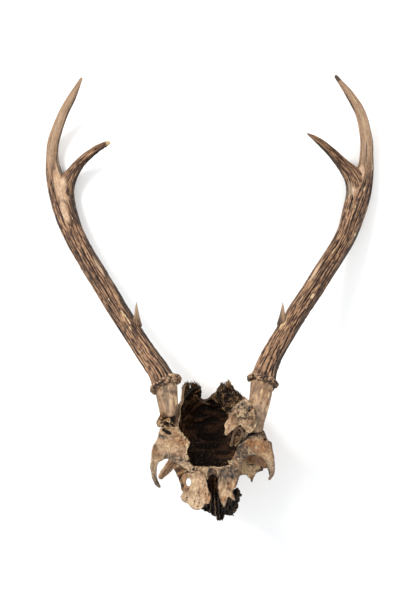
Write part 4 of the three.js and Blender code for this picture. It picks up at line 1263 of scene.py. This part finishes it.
def break_marks(x, y, inside, front):
    """Painted shade in the cells and in the clefts between the shelves, cream tips of the walls."""
    flat = flat_points(x, y)
    cell = break_cells(flat) * smooth(rough(flat, 4, 226, 2), -0.5, 0.3)
    lumps = rough(flat, 2.6, 225, 3)
    low = 1 - break_shelf(x, y)
    cream = 0.7 * smooth(lumps, 0.0, 0.4) + 0.9 * spread(x, y, (-44, -113.8), (2.6, 1.6))
    cream = cream + 0.5 * spread(x, y, (-34, -117), (5, 1))
    return {
        "pit": 0.8 * cell + 0.75 * low,
        "cream": np.clip(cream, 0, 1) * (1 - cell) * (1 - low),
        "stain": 0.7 * smooth(-lumps, 0.1, 0.5),
        "warm": 0.9 * spread(x, y, (-41, -107.5), (5, 4)),
    }


flat_sheet("broken_bone_left", LEFT_BREAK, 0.3, break_height, (0.9, 2.4, 227), 5.0, break_marks, SPONGY_BONE,
           edge_round=0.8)

CHEEK_BAR = [
    (-27, -132, 57, 5), (-31.6, -146, 59.5, 4.6), (-36.3, -153.4, 62.5, 4.1), (-41.0, -160.0, 66.5, 3.5),
    (-44.6, -164.4, 69.5, 2.2),
]
limb_piece("cheek_bar_left", CHEEK_BAR, 60, 0.45, bar_relief(231, 1.3, 0.7), NOSE_BONE,
           ("cheek_bar_left",), cap=1.4, flatten=0.7)

RIGHT_SOCKET = [
    (28.7, -148.2), (29.0, -141.2), (35.3, -137.5), (39.0, -135.7), (44.6, -135.2), (49.3, -136.3),
    (53.0, -144.1), (54.3, -150.5), (52.5, -153.8), (49.7, -154.7), (46.4, -152.0), (40.9, -150.3),
    (35.3, -150.0), (31.7, -149.5),
]


def socket_height(x, y):
    """Inner wall of the right eye socket: it hangs under the brow, hollow, and turns up to a broken edge."""
    flat = flat_points(x, y)
    under = brow_height(x, y, RIGHT_RIM) - 14.5
    hollow = 5 * smooth(y + 0.25 * np.abs(x - 42), -152, -142)
    height = under + 3.6 * smooth(-y, 144, 156) - hollow + 0.8 * rough(flat, (4, 9, 4), 241, 3)
    return height


def socket_marks(x, y, inside, front):
    """Orange, with painted shade deep under the brow and a pale point at its inner end."""
    lumps = rough(flat_points(x, y), (2.5, 5, 3), 243, 4)
    deep = smooth(y - 0.5 * np.maximum(0, x - 46) - 0.35 * np.maximum(0, 36 - x), -143.4, -140.8)
    return {
        "pit": 0.55 * deep,
        "cream": 0.8 * spread(x, y, (33.0, -147.3), (2.5, 1.5)) + 0.5 * smooth(lumps, 0.4, 0.8),
        "stain": 0.15 * smooth(-lumps, 0.2, 0.7),
        "warm": 0.85 + 0.15 * lumps,
    }


flat_sheet("orbit_wall_right", RIGHT_SOCKET, 0.34, socket_height, (0.3, 2.6, 245), 1.6, socket_marks,
           SOCKET_BONE, ("orbit_wall_right",))

RIGHT_TISSUE = [
    (25.7, -150.0), (27.3, -147.2), (31.0, -147.3), (35.4, -149.0), (40.9, -149.3), (42.8, -150.3),
    (46.4, -151.7), (48.3, -153.9), (47.5, -155.8), (44.6, -156.5), (42.0, -158.0), (40.2, -161.3),
    (37.8, -165.6), (36.1, -162.1), (34.6, -161.7), (33.2, -159.1), (30.2, -158.7), (27.6, -159.6),
    (25.6, -162.3), (24.1, -159.3), (24.2, -153.5),
]


def tissue_threads(x, y):
    """Crossing threads: the higher of two folded grains that run in slanting ways."""
    flat = flat_points(x, y)
    one = 1 - 2 * np.abs(grain(np.stack([x + 0.7 * y, 0.3 * (y - x), 0 * x], -1), (1.7, 2.6, 1), 401))
    other = 1 - 2 * np.abs(grain(np.stack([x - 0.6 * y, 0.3 * (x + y), 0 * x], -1), (1.7, 2.6, 1), 403))
    return np.maximum(one, other) + 0.6 * rough(flat, 4, 405, 3)


def tissue_height(x, y):
    """Matted tissue that fills the inner end of the socket and sags to spiky shreds."""
    height = 103 - 0.35 * (x - 28) - 0.5 * np.maximum(0, -158 - y) + 1.1 * tissue_threads(x, y)
    return height


def tissue_marks(x, y, inside, front):
    """Grey threads, with painted shade between them, along the outer edge and in the seam with the socket
    wall, orange at the shreds.
    """
    threads = tissue_threads(x, y)
    outer = smooth(x - 0.6 * (y + 153.5), 42.5, 46.5)
    seam = spread(x, y, (38, -149.9), (4, 0.9))
    return {
        "pit": 0.75 * smooth(-threads, -0.3, 0.6) + 0.85 * outer + seam,
        "cream": 0.35 * smooth(threads, 0.8, 1.4) + 0.9 * spread(x, y, (35.3, -161.2), (1, 2.4)),
        "stain": 0.2,
        "warm": 0.9 * smooth(-y, 158, 162) * smooth(x, 34, 38),
    }


flat_sheet("socket_tissue_right", RIGHT_TISSUE, 0.3, tissue_height, (0.5, 2.2, 407), 1.4, tissue_marks,
           MATTED_SKIN)

TEMPLE = [
    (-34.7, -103.8), (-30.5, -100.2), (-26.2, -95.9), (-26.2, -104.5), (-27.6, -111.7), (-28.1, -118.9),
    (-33.6, -117.5), (-36.3, -112.4), (-36.4, -107.4),
]


def temple_height(x, y):
    """The hollow bone between the left stalk's foot and the broken rim."""
    flat = flat_points(x, y)
    height = 90 + 0.36 * (-104 - y) - 0.04 * (x + 28) ** 2 + 1.2 * rough(flat, 5, 411, 4)
    return height


def temple_marks(x, y, inside, front):
    """Brown with dark clefts, painted shade where it meets the stalk's foot, and pale streaks."""
    lumps = rough(flat_points(x, y), (2.6, 5, 3), 413, 4)
    foot = 1.2 * spread(x, y, (-34.5, -110), (2.4, 7)) + spread(x, y, (-30.5, -102), (4, 2))
    return {
        "pit": 0.7 * smooth(-lumps, 0.0, 0.5) + 0.9 * np.clip(foot, 0, 1),
        "cream": 0.3 * smooth(lumps, 0.35, 0.8),
        "stain": 0.65 + 0.5 * lumps,
        "warm": 0.35,
    }


flat_sheet("temple_left", TEMPLE, 0.32, temple_height, (0.5, 2.6, 415), 2.0, temple_marks, SOCKET_BONE)

LEFT_TEAR_BONE = [
    (-31.0, -144.0), (-28.4, -145.5), (-23.0, -148.0), (-16.6, -152.7), (-12.6, -156.4), (-17.6, -159.4),
    (-22.5, -159.9), (-23.0, -164.8), (-21.5, -169.7), (-22.3, -173.7), (-24.5, -171.7), (-26.0, -164.8),
    (-28.4, -159.4), (-30.0, -155.5), (-31.8, -152.6),
]


def tear_folds(x, y):
    """Waves that run slantwise across the tear bone and waver."""
    return np.sin((x * 0.45 - y * 0.8) * 0.95 + 1.2 * rough(flat_points(x, y), 8, 251, 2))


def tear_height(x, y):
    """The folded tear bone under the left brow: slanting waves that step down toward the nose."""
    lumps = rough(flat_points(x, y), 4, 253, 3)
    height = forehead(x, y) - 6.5 + 0.3 * (y + 158) + 1.3 * tear_folds(x, y) + 0.9 * lumps
    return height


def tear_marks(x, y, inside, front):
    """Painted shade in the folds, tan on their edges."""
    fold = tear_folds(x, y)
    lumps = rough(flat_points(x, y), 3, 255, 3)
    return {
        "pit": 0.75 * smooth(-fold, 0.3, 0.9),
        "cream": 0.4 * smooth(fold + lumps, 0.6, 1.3),
        "stain": 0.3 + 0.8 * lumps,
        "warm": 0.3 + 0.5 * smooth(lumps, -0.2, 0.4),
    }


flat_sheet("tear_bone_left", LEFT_TEAR_BONE, 0.34, tear_height, (0.5, 2.6, 257), 1.8, tear_marks, SOCKET_BONE)

# ---- Broken roof, right side -------------------------------------------------------------------

ROOF_FLAP = [
    (19.4, -101.9), (16.5, -108.8), (14.0, -115.7), (14.0, -122.6), (16.2, -124.4), (19.4, -121.1),
    (24.8, -116.7), (27.6, -113.7), (29.8, -116.7), (32.2, -120.1), (35.2, -121.6), (37.7, -119.7),
    (40.2, -116.7), (41.7, -112.7), (42.8, -106.8), (41.4, -101.9), (38.2, -96.8), (34.7, -92.5),
    (29.8, -92.9), (24.8, -95.5), (21.9, -98.4),
]


def flap_crust(x, y):
    """1 on the crusted upper part of the flap and 0 on its smooth lower part, across a slanting line."""
    return smooth(0.55 * (x - 24) + 0.8 * (y + 112), -3, 5)


def flap_height(x, y):
    """The hanging flap of the roof: tilted, smooth below and crusted above."""
    flat = flat_points(x, y)
    height = 97.5 - 0.2 * (y + 110) - 0.015 * np.maximum(0, y + 106) ** 2 + 13.5 * smooth(x, 25.5, 37.5)
    height = height + (0.7 + 2.0 * flap_crust(x, y)) * rough(flat, 3.0, 261, 4) + 1.4 * rough(flat, 8, 263, 3)
    return height


def flap_marks(x, y, inside, front):
    """Pinkish lower part with a cream and orange edge, grey and brown crust above."""
    flat = flat_points(x, y)
    crust = flap_crust(x, y)
    lumps = rough(flat, 3.2, 265, 4)
    low_edge = near_edge(inside, 0.4, 2.4) * (1 - smooth(y, -114, -108))
    wrinkles = smooth(0.14 - np.abs(rough(flat, (2.0, 3.4, 2), 262, 3)), 0, 0.1)
    grey = crust * smooth(rough(flat, 3, 267, 3), -0.25, 0.2)
    return {
        "pit": 0.8 * crust * smooth(-lumps, 0.34, 0.6) + (0.25 + 0.45 * crust) * wrinkles,
        "cream": 0.95 * low_edge * smooth(lumps, -0.6, 0.1) + crust * 0.8 * smooth(lumps, 0.2, 0.6)
                 + 0.5 * smooth(rough(flat, (1.8, 4, 2), 268, 3), 0.25, 0.6),
        "stain": 0.85 * grey + 0.3 * smooth(-lumps, 0.1, 0.6),
        "warm": spread(x, y, (25.5, -114.8), (4.2, 1.8)) + 0.55 * spread(x, y, (22, -107), (5, 6)),
    }


flat_sheet("roof_flap_right", ROOF_FLAP, 0.32, flap_height, (1.0, 3.4, 269), 2.2, flap_marks, NOSE_BONE,
           ("roof_flap_right",), 0.6)

KNOB_LOOP = [
    (19.6, -134.4, 88, 1.6), (20.9, -126.5, 92, 1.3), (22.4, -120.8, 94, 1.2), (25.7, -117.6, 95, 1.2),
    (28.6, -119.2, 94.5, 1.2), (29.3, -123.9, 92, 1.3), (26.7, -129.4, 89, 1.6), (22.8, -134.2, 87, 1.7),
]
limb_piece("spongy_knob_right", KNOB_LOOP, 40, 0.4, bar_relief(271, 1.1, 0.3), NOSE_BONE,
           ("spongy_knob_right",), cap=1.2)


def knob_relief(place):
    """A rough brown filling with cells, which hold painted shade."""
    cell = pits(place, 2.4, 273, 0.5, 0.2)
    lumps = rough(place, 3, 275, 3)
    marks = {"pit": 0.9 * cell, "cream": 0.3 * smooth(lumps, 0.2, 0.6), "stain": 0.4 + 0 * cell,
             "warm": 0.5 + 0 * cell}
    return 0.8 * lumps - 0.8 * cell, marks


egg_piece("knob_filling_right", (25.2, -126.5, 87), (3.6, 6.6, 4.0), knob_relief, SPONGY_BONE,
          turned=False)

# ---- Nose --------------------------------------------------------------------------------------

LEFT_NOSE = [
    (-15.5, -155.5), (-10.7, -154.2), (-6.2, -155.9), (-3.0, -161.3), (-1.5, -167.6), (0.4, -173.5),
    (1.1, -178.3), (-0.1, -183.7), (-3.3, -183.2), (-7.2, -187.7), (-10.6, -188.9), (-14.6, -187.4),
    (-18.3, -184.0), (-22.6, -182.3), (-24.8, -179.6), (-25.5, -177.2), (-23.4, -174.3), (-22.2, -169.6),
    (-23.1, -164.7), (-24.9, -160.4), (-21.9, -156.5),
]
RIGHT_NOSE = [
    (8.7, -157.4), (11.9, -152.2), (17.8, -150.9), (24.4, -152.8), (26.1, -160.8), (23.8, -167.6),
    (20.9, -171.5), (21.6, -175.4), (22.9, -180.5), (20.5, -179.8), (16.9, -177.4), (15.4, -181.3),
    (13.4, -186.6), (10.9, -183.2), (9.1, -178.3), (7.9, -172.5), (7.6, -165.7),
]
NOSE_HOLE = (-18.2, -164.4)
NOSE_HOLE_HALF = (2.2, 3.5)
LEFT_NOSE_RIDGE = [(-13.6, -155.5, 0.7), (-13.8, -161, 0.8), (-14.4, -167.5, 0.6), (-17.4, -172.5, 0.5)]
# Soft spots: strength, centre, reach.
NOSE_PITS = [
    (1, (-9.5, -173.6), (0.8, 0.9)), (1, (-3.0, -174.6), (0.5, 0.9)), (1, (-19.6, -178), (0.8, 0.6)),
    (1, (-6, -166), (0.4, 0.4)), (1, (-18.5, -170.3), (0.7, 0.9)), (1, (-13, -181.3), (0.5, 0.8)),
    (1, (-8.9, -182.5), (0.4, 0.7)), (1, (-0.2, -175), (0.5, 2.0)), (1, (-10.5, -186), (0.5, 0.6)),
]
LEFT_NOSE_RUST = [(1, (-1.5, -180), (2.4, 5)), (1, (-22.5, -166), (3.4, 9)), (0.8, (-18, -158), (5, 2.4))]
LEFT_NOSE_STAINS = [
    (0.55, (-8, -156.5), (6, 2.4)), (0.7, (-23, -180.5), (3.5, 3)), (0.4, (-20, -158), (5, 3)),
]
RIGHT_NOSE_RUST = [(0.9, (12, -180), (3.4, 6)), (0.9, (21, -174), (3, 6)), (0.95, (17, -167), (7, 6))]


def left_nose_depth(x, y):
    """Inside the plate's torn outline and outside its through hole."""
    flat = flat_points(x, y)
    off_x, off_y = (x - NOSE_HOLE[0]) / NOSE_HOLE_HALF[0], (y - NOSE_HOLE[1]) / NOSE_HOLE_HALF[1]
    hole = (np.hypot(off_x, off_y) - 1) * 2.4
    torn = outline_depth(x, y, LEFT_NOSE) + 0.7 * rough(flat, 3.0, 281, 4) * smooth(-y, 164, 176)
    return np.minimum(torn, hole + 0.2 * rough(flat, 1.5, 283, 2))


def left_nose_height(x, y):
    """Left plate of the nose: it curls down at both sides, has pinprick pits and a low ridge."""
    flat = flat_points(x, y)
    curl = 0.045 * np.maximum(0, -14 - x) ** 2 + 0.03 * np.maximum(0, x + 6) ** 2
    ridge = smooth(path_depth(x, y, LEFT_NOSE_RIDGE), -1.8, 0.6)
    height = forehead(x, y) - 1.3 - curl + 0.9 * rough(flat, (5, 9, 5), 285, 4)
    height = height - 1.4 * spots(x, y, NOSE_PITS) + 0.9 * ridge
    return height - 1.2 * ring(x, y, NOSE_HOLE, NOSE_HOLE_HALF, 4)


def left_nose_marks(x, y, inside, front):
    """Pinprick pits painted in shade, dark specks, a dark line along the torn edge, cream bloom low down,
    grey at the top, tan at the hole.
    """
    flat = flat_points(x, y)
    lumps = rough(flat, 5, 289, 4)
    pores = pits(flat, 2.1, 291, 0.2, 0.08) * smooth(lumps, -0.2, 0.3)
    bloom = smooth(rough(flat, (3, 7, 3), 293, 4), -0.1, 0.5)
    low_bloom = spread(x, y, (-12, -183), (8, 3)) * smooth(lumps, -0.5, 0.2)
    ridge = smooth(path_depth(x, y, LEFT_NOSE_RIDGE), -0.6, 0.5)
    return {
        "pit": smooth(spots(x, y, NOSE_PITS), 0.3, 0.7) + 0.8 * pores
               + 0.5 * near_edge(inside, 0.1, 0.6) * smooth(lumps, -0.4, 0.2),
        "cream": 0.4 * bloom + 0.5 * low_bloom + 0.5 * ridge,
        "stain": spots(x, y, LEFT_NOSE_STAINS) + 0.45 * smooth(-lumps, 0.2, 0.7)
                 + 0.5 * near_edge(inside, 0.2, 1.0) * smooth(lumps, -0.3, 0.2),
        "warm": 0.75 * spots(x, y, LEFT_NOSE_RUST) + 0.3 * smooth(lumps, 0.1, 0.6),
    }


flat_sheet("nose_plate_left", LEFT_NOSE, 0.32, left_nose_height, left_nose_depth, 1.5, left_nose_marks,
           NOSE_BONE, ("nose_plate_left",))


def right_nose_height(x, y):
    """Right plate of the nose: it curls down beside the slit and its torn tips bend down."""
    flat = flat_points(x, y)
    curl = 0.05 * np.maximum(0, 11.5 - x) ** 2 + 0.035 * np.maximum(0, x - 18) ** 2
    tips = 0.045 * np.maximum(0, -176 - y) ** 2
    height = forehead(x, y) - 0.9 - curl - tips + 1.0 * rough(flat, (5, 9, 5), 295, 4)
    return height


def right_nose_marks(x, y, inside, front):
    """Brown and grey above, pinkish tan below, orange tips with cream edges."""
    flat = flat_points(x, y)
    lumps = rough(flat, 4, 299, 4)
    upper = smooth(y + 2 * lumps, -168, -157)
    pores = pits(flat, 2.1, 303, 0.2, 0.08) * smooth(lumps, -0.2, 0.3)
    bloom = smooth(rough(flat, (3, 5, 3), 304, 4), 0.1, 0.6)
    return {
        "pit": 0.8 * upper * smooth(lumps, 0.25, 0.7) + 0.6 * pores
               + 0.5 * near_edge(inside, 0.1, 0.6) * smooth(lumps, -0.4, 0.2),
        "cream": 0.6 * bloom * (1 - upper) + 0.7 * spread(x, y, (13.5, -183.5), (2.6, 2.4)),
        "stain": upper * (1.05 + 0.6 * lumps) + 0.5 * smooth(-lumps, 0.0, 0.6)
                 + 0.6 * near_edge(inside, 0.3, 1.5) + 0.4 * spread(x, y, (15, -167), (9, 8)),
        "warm": spots(x, y, RIGHT_NOSE_RUST) + 0.3 * upper,
    }


flat_sheet("nose_plate_right", RIGHT_NOSE, 0.32, right_nose_height, (0.5, 2.6, 301), 1.5, right_nose_marks,
           NOSE_BONE, ("nose_plate_right",))

NOSE_BRIDGE = [
    (-15.6, -154.6), (-12.7, -150.8), (-6.8, -150.6), (-1.8, -151.0), (3, -150.4), (8.0, -151.4),
    (14, -150.2), (19.8, -150.1), (24.6, -153.0), (20.7, -157.0), (13.9, -157.6), (8.4, -158.6),
    (7.9, -161.8), (6.0, -158.9), (3.1, -157.9), (-0.3, -159.4), (-1.8, -162.8), (-4.0, -160.4),
    (-8.7, -158.0),
]
ARCH_CENTRE = (2.6, -158)  # of the brown arch over the nose cavity
BRIDGE_PITS = [(0.75, (2.6, -158.5), (4.0, 3.6)), (0.6, (-9.5, -155.5), (5, 1))]


def bridge_height(x, y):
    """The bridge across the top of the nose, in two leaves with a brown arch between them."""
    arch = spread(x, y, (2.6, -155), (4.2, 9))
    lip = ring(x, y, ARCH_CENTRE, (5.0, 6.4), 40)
    lumps = rough(flat_points(x, y), 4.5, 311, 4)
    return forehead(x, y) - 2.6 - 1.6 * arch + 0.9 * lip + 1.3 * lumps


def bridge_marks(x, y, inside, front):
    """Pale grey on the left, brown in the middle, dark on the right, cream along the cavity."""
    flat = flat_points(x, y)
    lumps = rough(flat, 3, 313, 4)
    back_edge = near_edge(inside, 0.3, 1.4) * smooth(y, -154, -151.5)
    back_edge = back_edge * smooth(rough(flat, 3, 317, 2), 0, 0.4)
    pale_spot = spread(x, y, (-5.5, -153.5), (3.4, 2.2)) * smooth(lumps, -0.5, 0.1)
    lip = ring(x, y, ARCH_CENTRE, (5.2, 6.6), 60) * (lumps > -0.3)
    return {
        "pit": 0.7 * smooth(lumps, 0.2, 0.6) + spots(x, y, BRIDGE_PITS),
        "cream": 0.9 * back_edge + 0.9 * pale_spot + 0.6 * lip,
        "stain": 0.8 + 0.3 * smooth(x, 4, 12) + 0.6 * lumps - 0.5 * spread(x, y, (-6, -153), (5, 3)),
        "warm": spread(x, y, (2.6, -156), (4.2, 5)),
    }


flat_sheet("nose_bridge", NOSE_BRIDGE, 0.32, bridge_height, (0.4, 2.6, 315), 1.6, bridge_marks, CRANIAL_BONE)

SCROLLS = [
    (-11.5, -153), (-11.5, -166), (-8.5, -178), (-8.0, -188.5), (-5.8, -190.5), (-1.8, -192.5),
    (2.2, -195.5), (6.1, -198.4), (8.1, -199.6), (14.0, -198.6), (18.0, -196), (21.9, -196.5),
    (25.3, -191.0), (25.6, -186.1), (28.2, -181.1), (28.8, -176.2), (27.4, -172.0), (24.5, -168.4),
    (22.8, -172), (19, -168), (18, -160), (16, -153),
]
SCROLL_FRONT = -176.0


def scroll_depth(x, y):
    """Torn outline of the dried scrolls."""
    flat = flat_points(x, y)
    return outline_depth(x, y, SCROLLS) + 3.2 * rough(flat, 3.6, 321, 4) * smooth(-y, 160, 172) - 0.1


def scroll_folds(x, y):
    """Upright leaves side by side, wavering, that run from back to front and fan out a little."""
    flat = flat_points(x, y)
    fan = x - 0.18 * (y + 176) * (x - 5) / 20
    sway = 1.7 * rough(flat, (5, 9, 5), 323, 3)
    middle = 0.25 + 0.75 * spread(x, y, (5.5, -188), (7, 30))
    return middle * np.sin(2 * np.pi * (fan + sway) / 3.4) + 1.5 * rough(flat, (2.6, 4, 2.6), 325, 4)


def scroll_height(x, y):
    """Top of the dried scrolls: level behind but for a slit, sloping down in front, all of it in leaves."""
    front = np.maximum(0, SCROLL_FRONT - y)
    slit = 5 * spread(x, y, (4, -168), (3.4, 7))
    height = forehead(x, y) - 8.5 - 1.05 * front + 1.9 * scroll_folds(x, y) - slit
    return np.minimum(height, forehead(x, y) - 3.6)


def scroll_marks(x, y, inside, front):
    """relief is a painted highlight on the leaves' edges in front, and brown colour in the throat behind them
    and along the outline.
    """
    folds = scroll_folds(x, y)
    shown = smooth(-y, 174, 182)
    crests = smooth(folds + 0.7 * rough(flat_points(x, y), 2.4, 327, 3), 0.1, 1.7)
    throat = 0.9 * spread(x, y, (4, -168), (3.4, 6)) + 0.9 * spread(x, y, (3.4, -161), (4, 4))
    throat = throat + 0.6 * spread(x, y, (23, -186), (6, 9)) * smooth(folds, -0.6, 0.8)
    side = 0.35 * near_edge(inside, 0.2, 1.6) * smooth(folds, -0.8, 0.6)
    return {"relief": crests * shown + throat + side, "fleck": 0.6 * smooth(-y, 180, 190)}


def scroll_thickness(x, y):
    """The mass hangs down to a torn underside and thins toward its outline as the side of a bowl does."""
    deep = forehead(x, y) - 88 - 1.0 * np.maximum(0, SCROLL_FRONT - y) + 9 * scroll_folds(x, y)
    inside = np.clip(scroll_depth(x, y) / 7, 0, 1)
    return np.clip(deep, 5, 27) * (0.3 + 0.7 * np.sqrt(1 - (1 - inside) ** 2))


flat_sheet("nose_scrolls", SCROLLS, 0.34, scroll_height, scroll_depth, scroll_thickness, scroll_marks,
           SCROLL_SKIN, ("nose_scroll_left", "nose_scroll_right", "nose_wall"), 1.4)

# Thin upright leaves between the scrolls: x at the back and in front, y at the back and in front, half
# thickness, and how far the top lies under the scrolls' level.
WALL_LEAVES = [
    (1.8, 0.4, -180, -193, 0.45, 1.2, SOCKET_BONE), (4.6, 6.4, -179, -198.2, 0.55, 0.4, NOSE_BONE),
    (7.6, 9.2, -182, -197.5, 0.4, 1.6, SOCKET_BONE),
]
LEAF_STATIONS = 8
for number, (x_back, x_front, back, front, half, drop, leaf_bone) in enumerate(WALL_LEAVES):
    rows = np.linspace(back, front, LEAF_STATIONS)
    level = forehead(np.full(LEAF_STATIONS, 4.0), rows)
    heights = level - 6.2 - drop - 1.02 * np.maximum(0, SCROLL_FRONT - rows)
    wiggle = 0.4 * np.sin(np.arange(LEAF_STATIONS) * 1.9 + number)
    middle = np.linspace(x_back, x_front, LEAF_STATIONS) + wiggle
    leaf = np.column_stack([middle, rows, heights, np.full(LEAF_STATIONS, half)])
    limb_piece(f"nose_wall_leaf_{number + 1}", leaf, 24, 0.4, bar_relief(331 + number, 0.8, 0.5), leaf_bone,
               cap=0.6, flatten=3.0)

# ---- Torn nape skin and hairs ------------------------------------------------------------------

LEFT_NAPE = [
    (-24.4, -87.5), (-24.8, -84.0), (-23.6, -81.2), (-21.3, -78.4), (-18.3, -77.9), (-17.9, -81.6),
    (-17.0, -84.0), (-15.9, -80.4), (-13.9, -77.6), (-12.5, -80.2), (-10.4, -79.0), (-10.2, -82.6),
    (-7.4, -84.4), (-9.4, -87.2), (-8.6, -93.1), (-10.8, -98.6), (-14.8, -102.7), (-20.8, -102.7),
    (-24.4, -98.7), (-24.0, -93.1),
]
RIGHT_NAPE = [
    (2.3, -92.4), (6.8, -87.3), (7.1, -83.8), (10.3, -82.3), (10.6, -78.1), (13.3, -80.8), (16.1, -79.8),
    (17.2, -75.9), (19.8, -78.8), (22.5, -82.3), (23.8, -86.3), (28.4, -88.3), (32.9, -90.9), (37.0, -95.2),
    (38.3, -100.2), (33.8, -104.1), (26.0, -100.4), (21.1, -104.5), (18.1, -107.7), (13.8, -103.3),
    (8.4, -97.7),
]


def nape_fibres(flat, seed):
    """Fine fibres: 1 where grain passes through 0 and -1 where it is strongest."""
    return 1 - 2 * np.abs(grain(flat, (1.4, 3, 1), seed + 7))


def nape_height(slope_x, slope_y, level, seed):
    """A tilted plane slope_x * x + slope_y * y + level, crusted with knots and fibres."""

    def height(x, y):
        flat = flat_points(x, y)
        knots = 2.4 * rough(flat, 3.2, seed, 4) + 1.2 * nape_fibres(flat, seed)
        return slope_x * x + slope_y * y + level + knots

    return height


def nape_marks(seed):
    """relief is a painted highlight on the knots, stronger near the rim, and brown colour beside the roof
    flap; flecks are most at the edge.
    """

    def marks(x, y, inside, front):
        flat = flat_points(x, y)
        high = smooth(rough(flat, 3.2, seed, 4) + 0.3 * nape_fibres(flat, seed), -0.1, 0.8)
        patch = smooth(rough(flat, 9, seed + 11, 3), -0.3, 0.4)
        rim = near_edge(inside, 1.5, 8)
        near_flap = spread(x, y, (31, -97), (8, 5))
        return {"relief": high * (0.42 + 0.5 * patch + 0.7 * rim) + 0.5 * near_flap,
                "fleck": 1 - 0.5 * smooth(inside, 1, 5)}

    return marks


flat_sheet("nape_skin_left", LEFT_NAPE, 0.32, nape_height(-0.25, 1.15, 139.85, 341), (1.3, 2.6, 343), 1.6,
           nape_marks(341), NAPE_SKIN)
flat_sheet("nape_skin_right", RIGHT_NAPE, 0.32, nape_height(1.5, -0.55, -14.5, 351), (1.3, 2.6, 353), 1.6,
           nape_marks(351), NAPE_SKIN)

HAIR_RADIUS = 0.24
HAIR_ROWS = 7
HAIR_SIDES = 5
ROOT_PLACES = 400  # places along a line that hairs grow from


def hairs_piece(name, line, count, length, seed, lean):
    """Short stiff hairs along a line: each is a thin bent cone of five sides, root + t * way + t2 * bend."""
    random = np.random.default_rng(seed)
    roots = through(line, ROOT_PLACES)[random.integers(0, ROOT_PLACES, count)]
    roots = roots + random.normal(0, 0.7, (count, 3))
    way = unit(np.asarray(lean) + random.normal(0, 0.45, (count, 3)))
    way = way * random.uniform(0.4, 1.0, (count, 1)) * length
    bend = random.normal(0, 0.22, (count, 3)) * length
    t = np.linspace(0, 1, HAIR_ROWS)[None, :, None]
    spine = roots[:, None] + t * way[:, None] + t**2 * bend[:, None]
    forward = unit(np.gradient(spine, axis=1))
    across = unit(np.cross(forward, [0.3, 0.2, 1.0]))
    over = np.cross(across, forward)
    angle = np.linspace(0, 2 * np.pi, HAIR_SIDES, endpoint=False)
    thick = (HAIR_RADIUS * (1 - 0.8 * t))[..., None]
    rim = np.cos(angle)[:, None] * across[:, :, None] + np.sin(angle)[:, None] * over[:, :, None]
    rows = spine[:, :, None] + thick * rim
    quads, fans = tube_faces(HAIR_ROWS, HAIR_SIDES)
    per = HAIR_ROWS * HAIR_SIDES + 2
    blocks = np.concatenate([rows.reshape(count, -1, 3), spine[:, :1], spine[:, -1:]], axis=1)
    shift = (np.arange(count) * per)[:, None, None]
    quads = (quads + shift).reshape(-1, 4)[:, ::-1]
    fans = (fans + shift).reshape(-1, 3)[:, ::-1]
    marks = {"relief": random.uniform(0, 1, count).repeat(per)}
    make_piece(name, blocks.reshape(-1, 3), quads, marks, NAPE_SKIN, (), fans)


# Name, line of roots, number of hairs, their length, seed, and the way they lean.
HAIRS = [
    ("nape_hairs_left", [(-22, -82.5, 53), (-19, -80.5, 53), (-13, -80.5, 52), (-8.6, -83, 49)],
     150, 3.2, 361, (0.15, 0.7, 0.4)),
    ("nape_hairs_right",
     [(7.5, -86, 46), (11, -81.5, 50), (17, -79, 54), (23, -86, 62), (31, -91.5, 76), (37, -98, 90)],
     200, 2.8, 367, (0.1, 0.6, 0.4)),
    ("nape_tufts", [(-20.4, -80.5, 53), (-20.0, -80.0, 53)], 16, 4.2, 371, (0.1, 0.9, 0.3)),
    ("nape_tufts_middle", [(-14, -80.5, 52), (-11.5, -80.5, 52)], 18, 5.0, 373, (0.0, 0.9, 0.3)),
    ("nape_tufts_right", [(10.5, -81.5, 51), (11.2, -81, 51)], 14, 5.0, 375, (-0.1, 0.9, 0.3)),
    ("nape_tufts_far", [(16.6, -79, 54), (17.8, -79, 54)], 18, 5.5, 377, (0.1, 0.9, 0.3)),
]
for hairs in HAIRS:
    hairs_piece(*hairs)

# ---- Floor and light ---------------------------------------------------------------------------

floor_mesh = bpy.data.meshes.new("floor")
floor_mesh.from_pydata([(-3, -3, 0), (3, -3, 0), (3, 3, 0), (-3, 3, 0)], [], [(0, 1, 2, 3)])
floor = bpy.data.objects.new("floor", floor_mesh)
bpy.context.scene.collection.objects.link(floor)
# White painted board, matt, so that the shadows stay soft and pale.
floor_material = empty_material("floor board, matt white")
floor_at = add(floor_material.node_tree, "ShaderNodeTexCoord").outputs["Object"]
floor_grain = add(floor_material.node_tree, "ShaderNodeTexNoise", {0: floor_at, "Scale": 300.0})
finish_surface(floor_material, "#f6f7f7", 0.9, floor_grain.outputs[0], 0.02, 0.1, "#ffffff")
floor_mesh.materials.append(floor_material)

world = bpy.data.worlds.new("studio")
bpy.context.scene.world = world
world.use_nodes = True
world.node_tree.nodes.clear()
sky = add(world.node_tree, "ShaderNodeBackground", {0: "#f4f8fd", 1: 1.05})
world_output = add(world.node_tree, "ShaderNodeOutputWorld")
world.node_tree.links.new(sky.outputs[0], world_output.inputs[0])


def soft_light(name, place, aim, width, power, tint):
    """A square soft light at a place, turned to its aim."""
    lamp = bpy.data.lights.new(name, "AREA")
    lamp.size = width
    lamp.energy = power
    lamp.color = colour(tint)[:3]
    holder = bpy.data.objects.new(name, lamp)
    holder.location = place
    way = np.asarray(aim, float) - np.asarray(place, float)
    turn = (np.arctan2(np.hypot(way[0], way[1]), -way[2]), 0, np.arctan2(way[1], way[0]) - np.pi / 2)
    holder.rotation_euler = turn
    bpy.context.scene.collection.objects.link(holder)


soft_light("key", (-1.1, 0.9, 1.7), (0, 0, 0), 0.6, 34, "#fffaf2")
soft_light("fill", (1.2, 1.1, 1.5), (0, 0, 0), 0.8, 15, "#fff0dc")
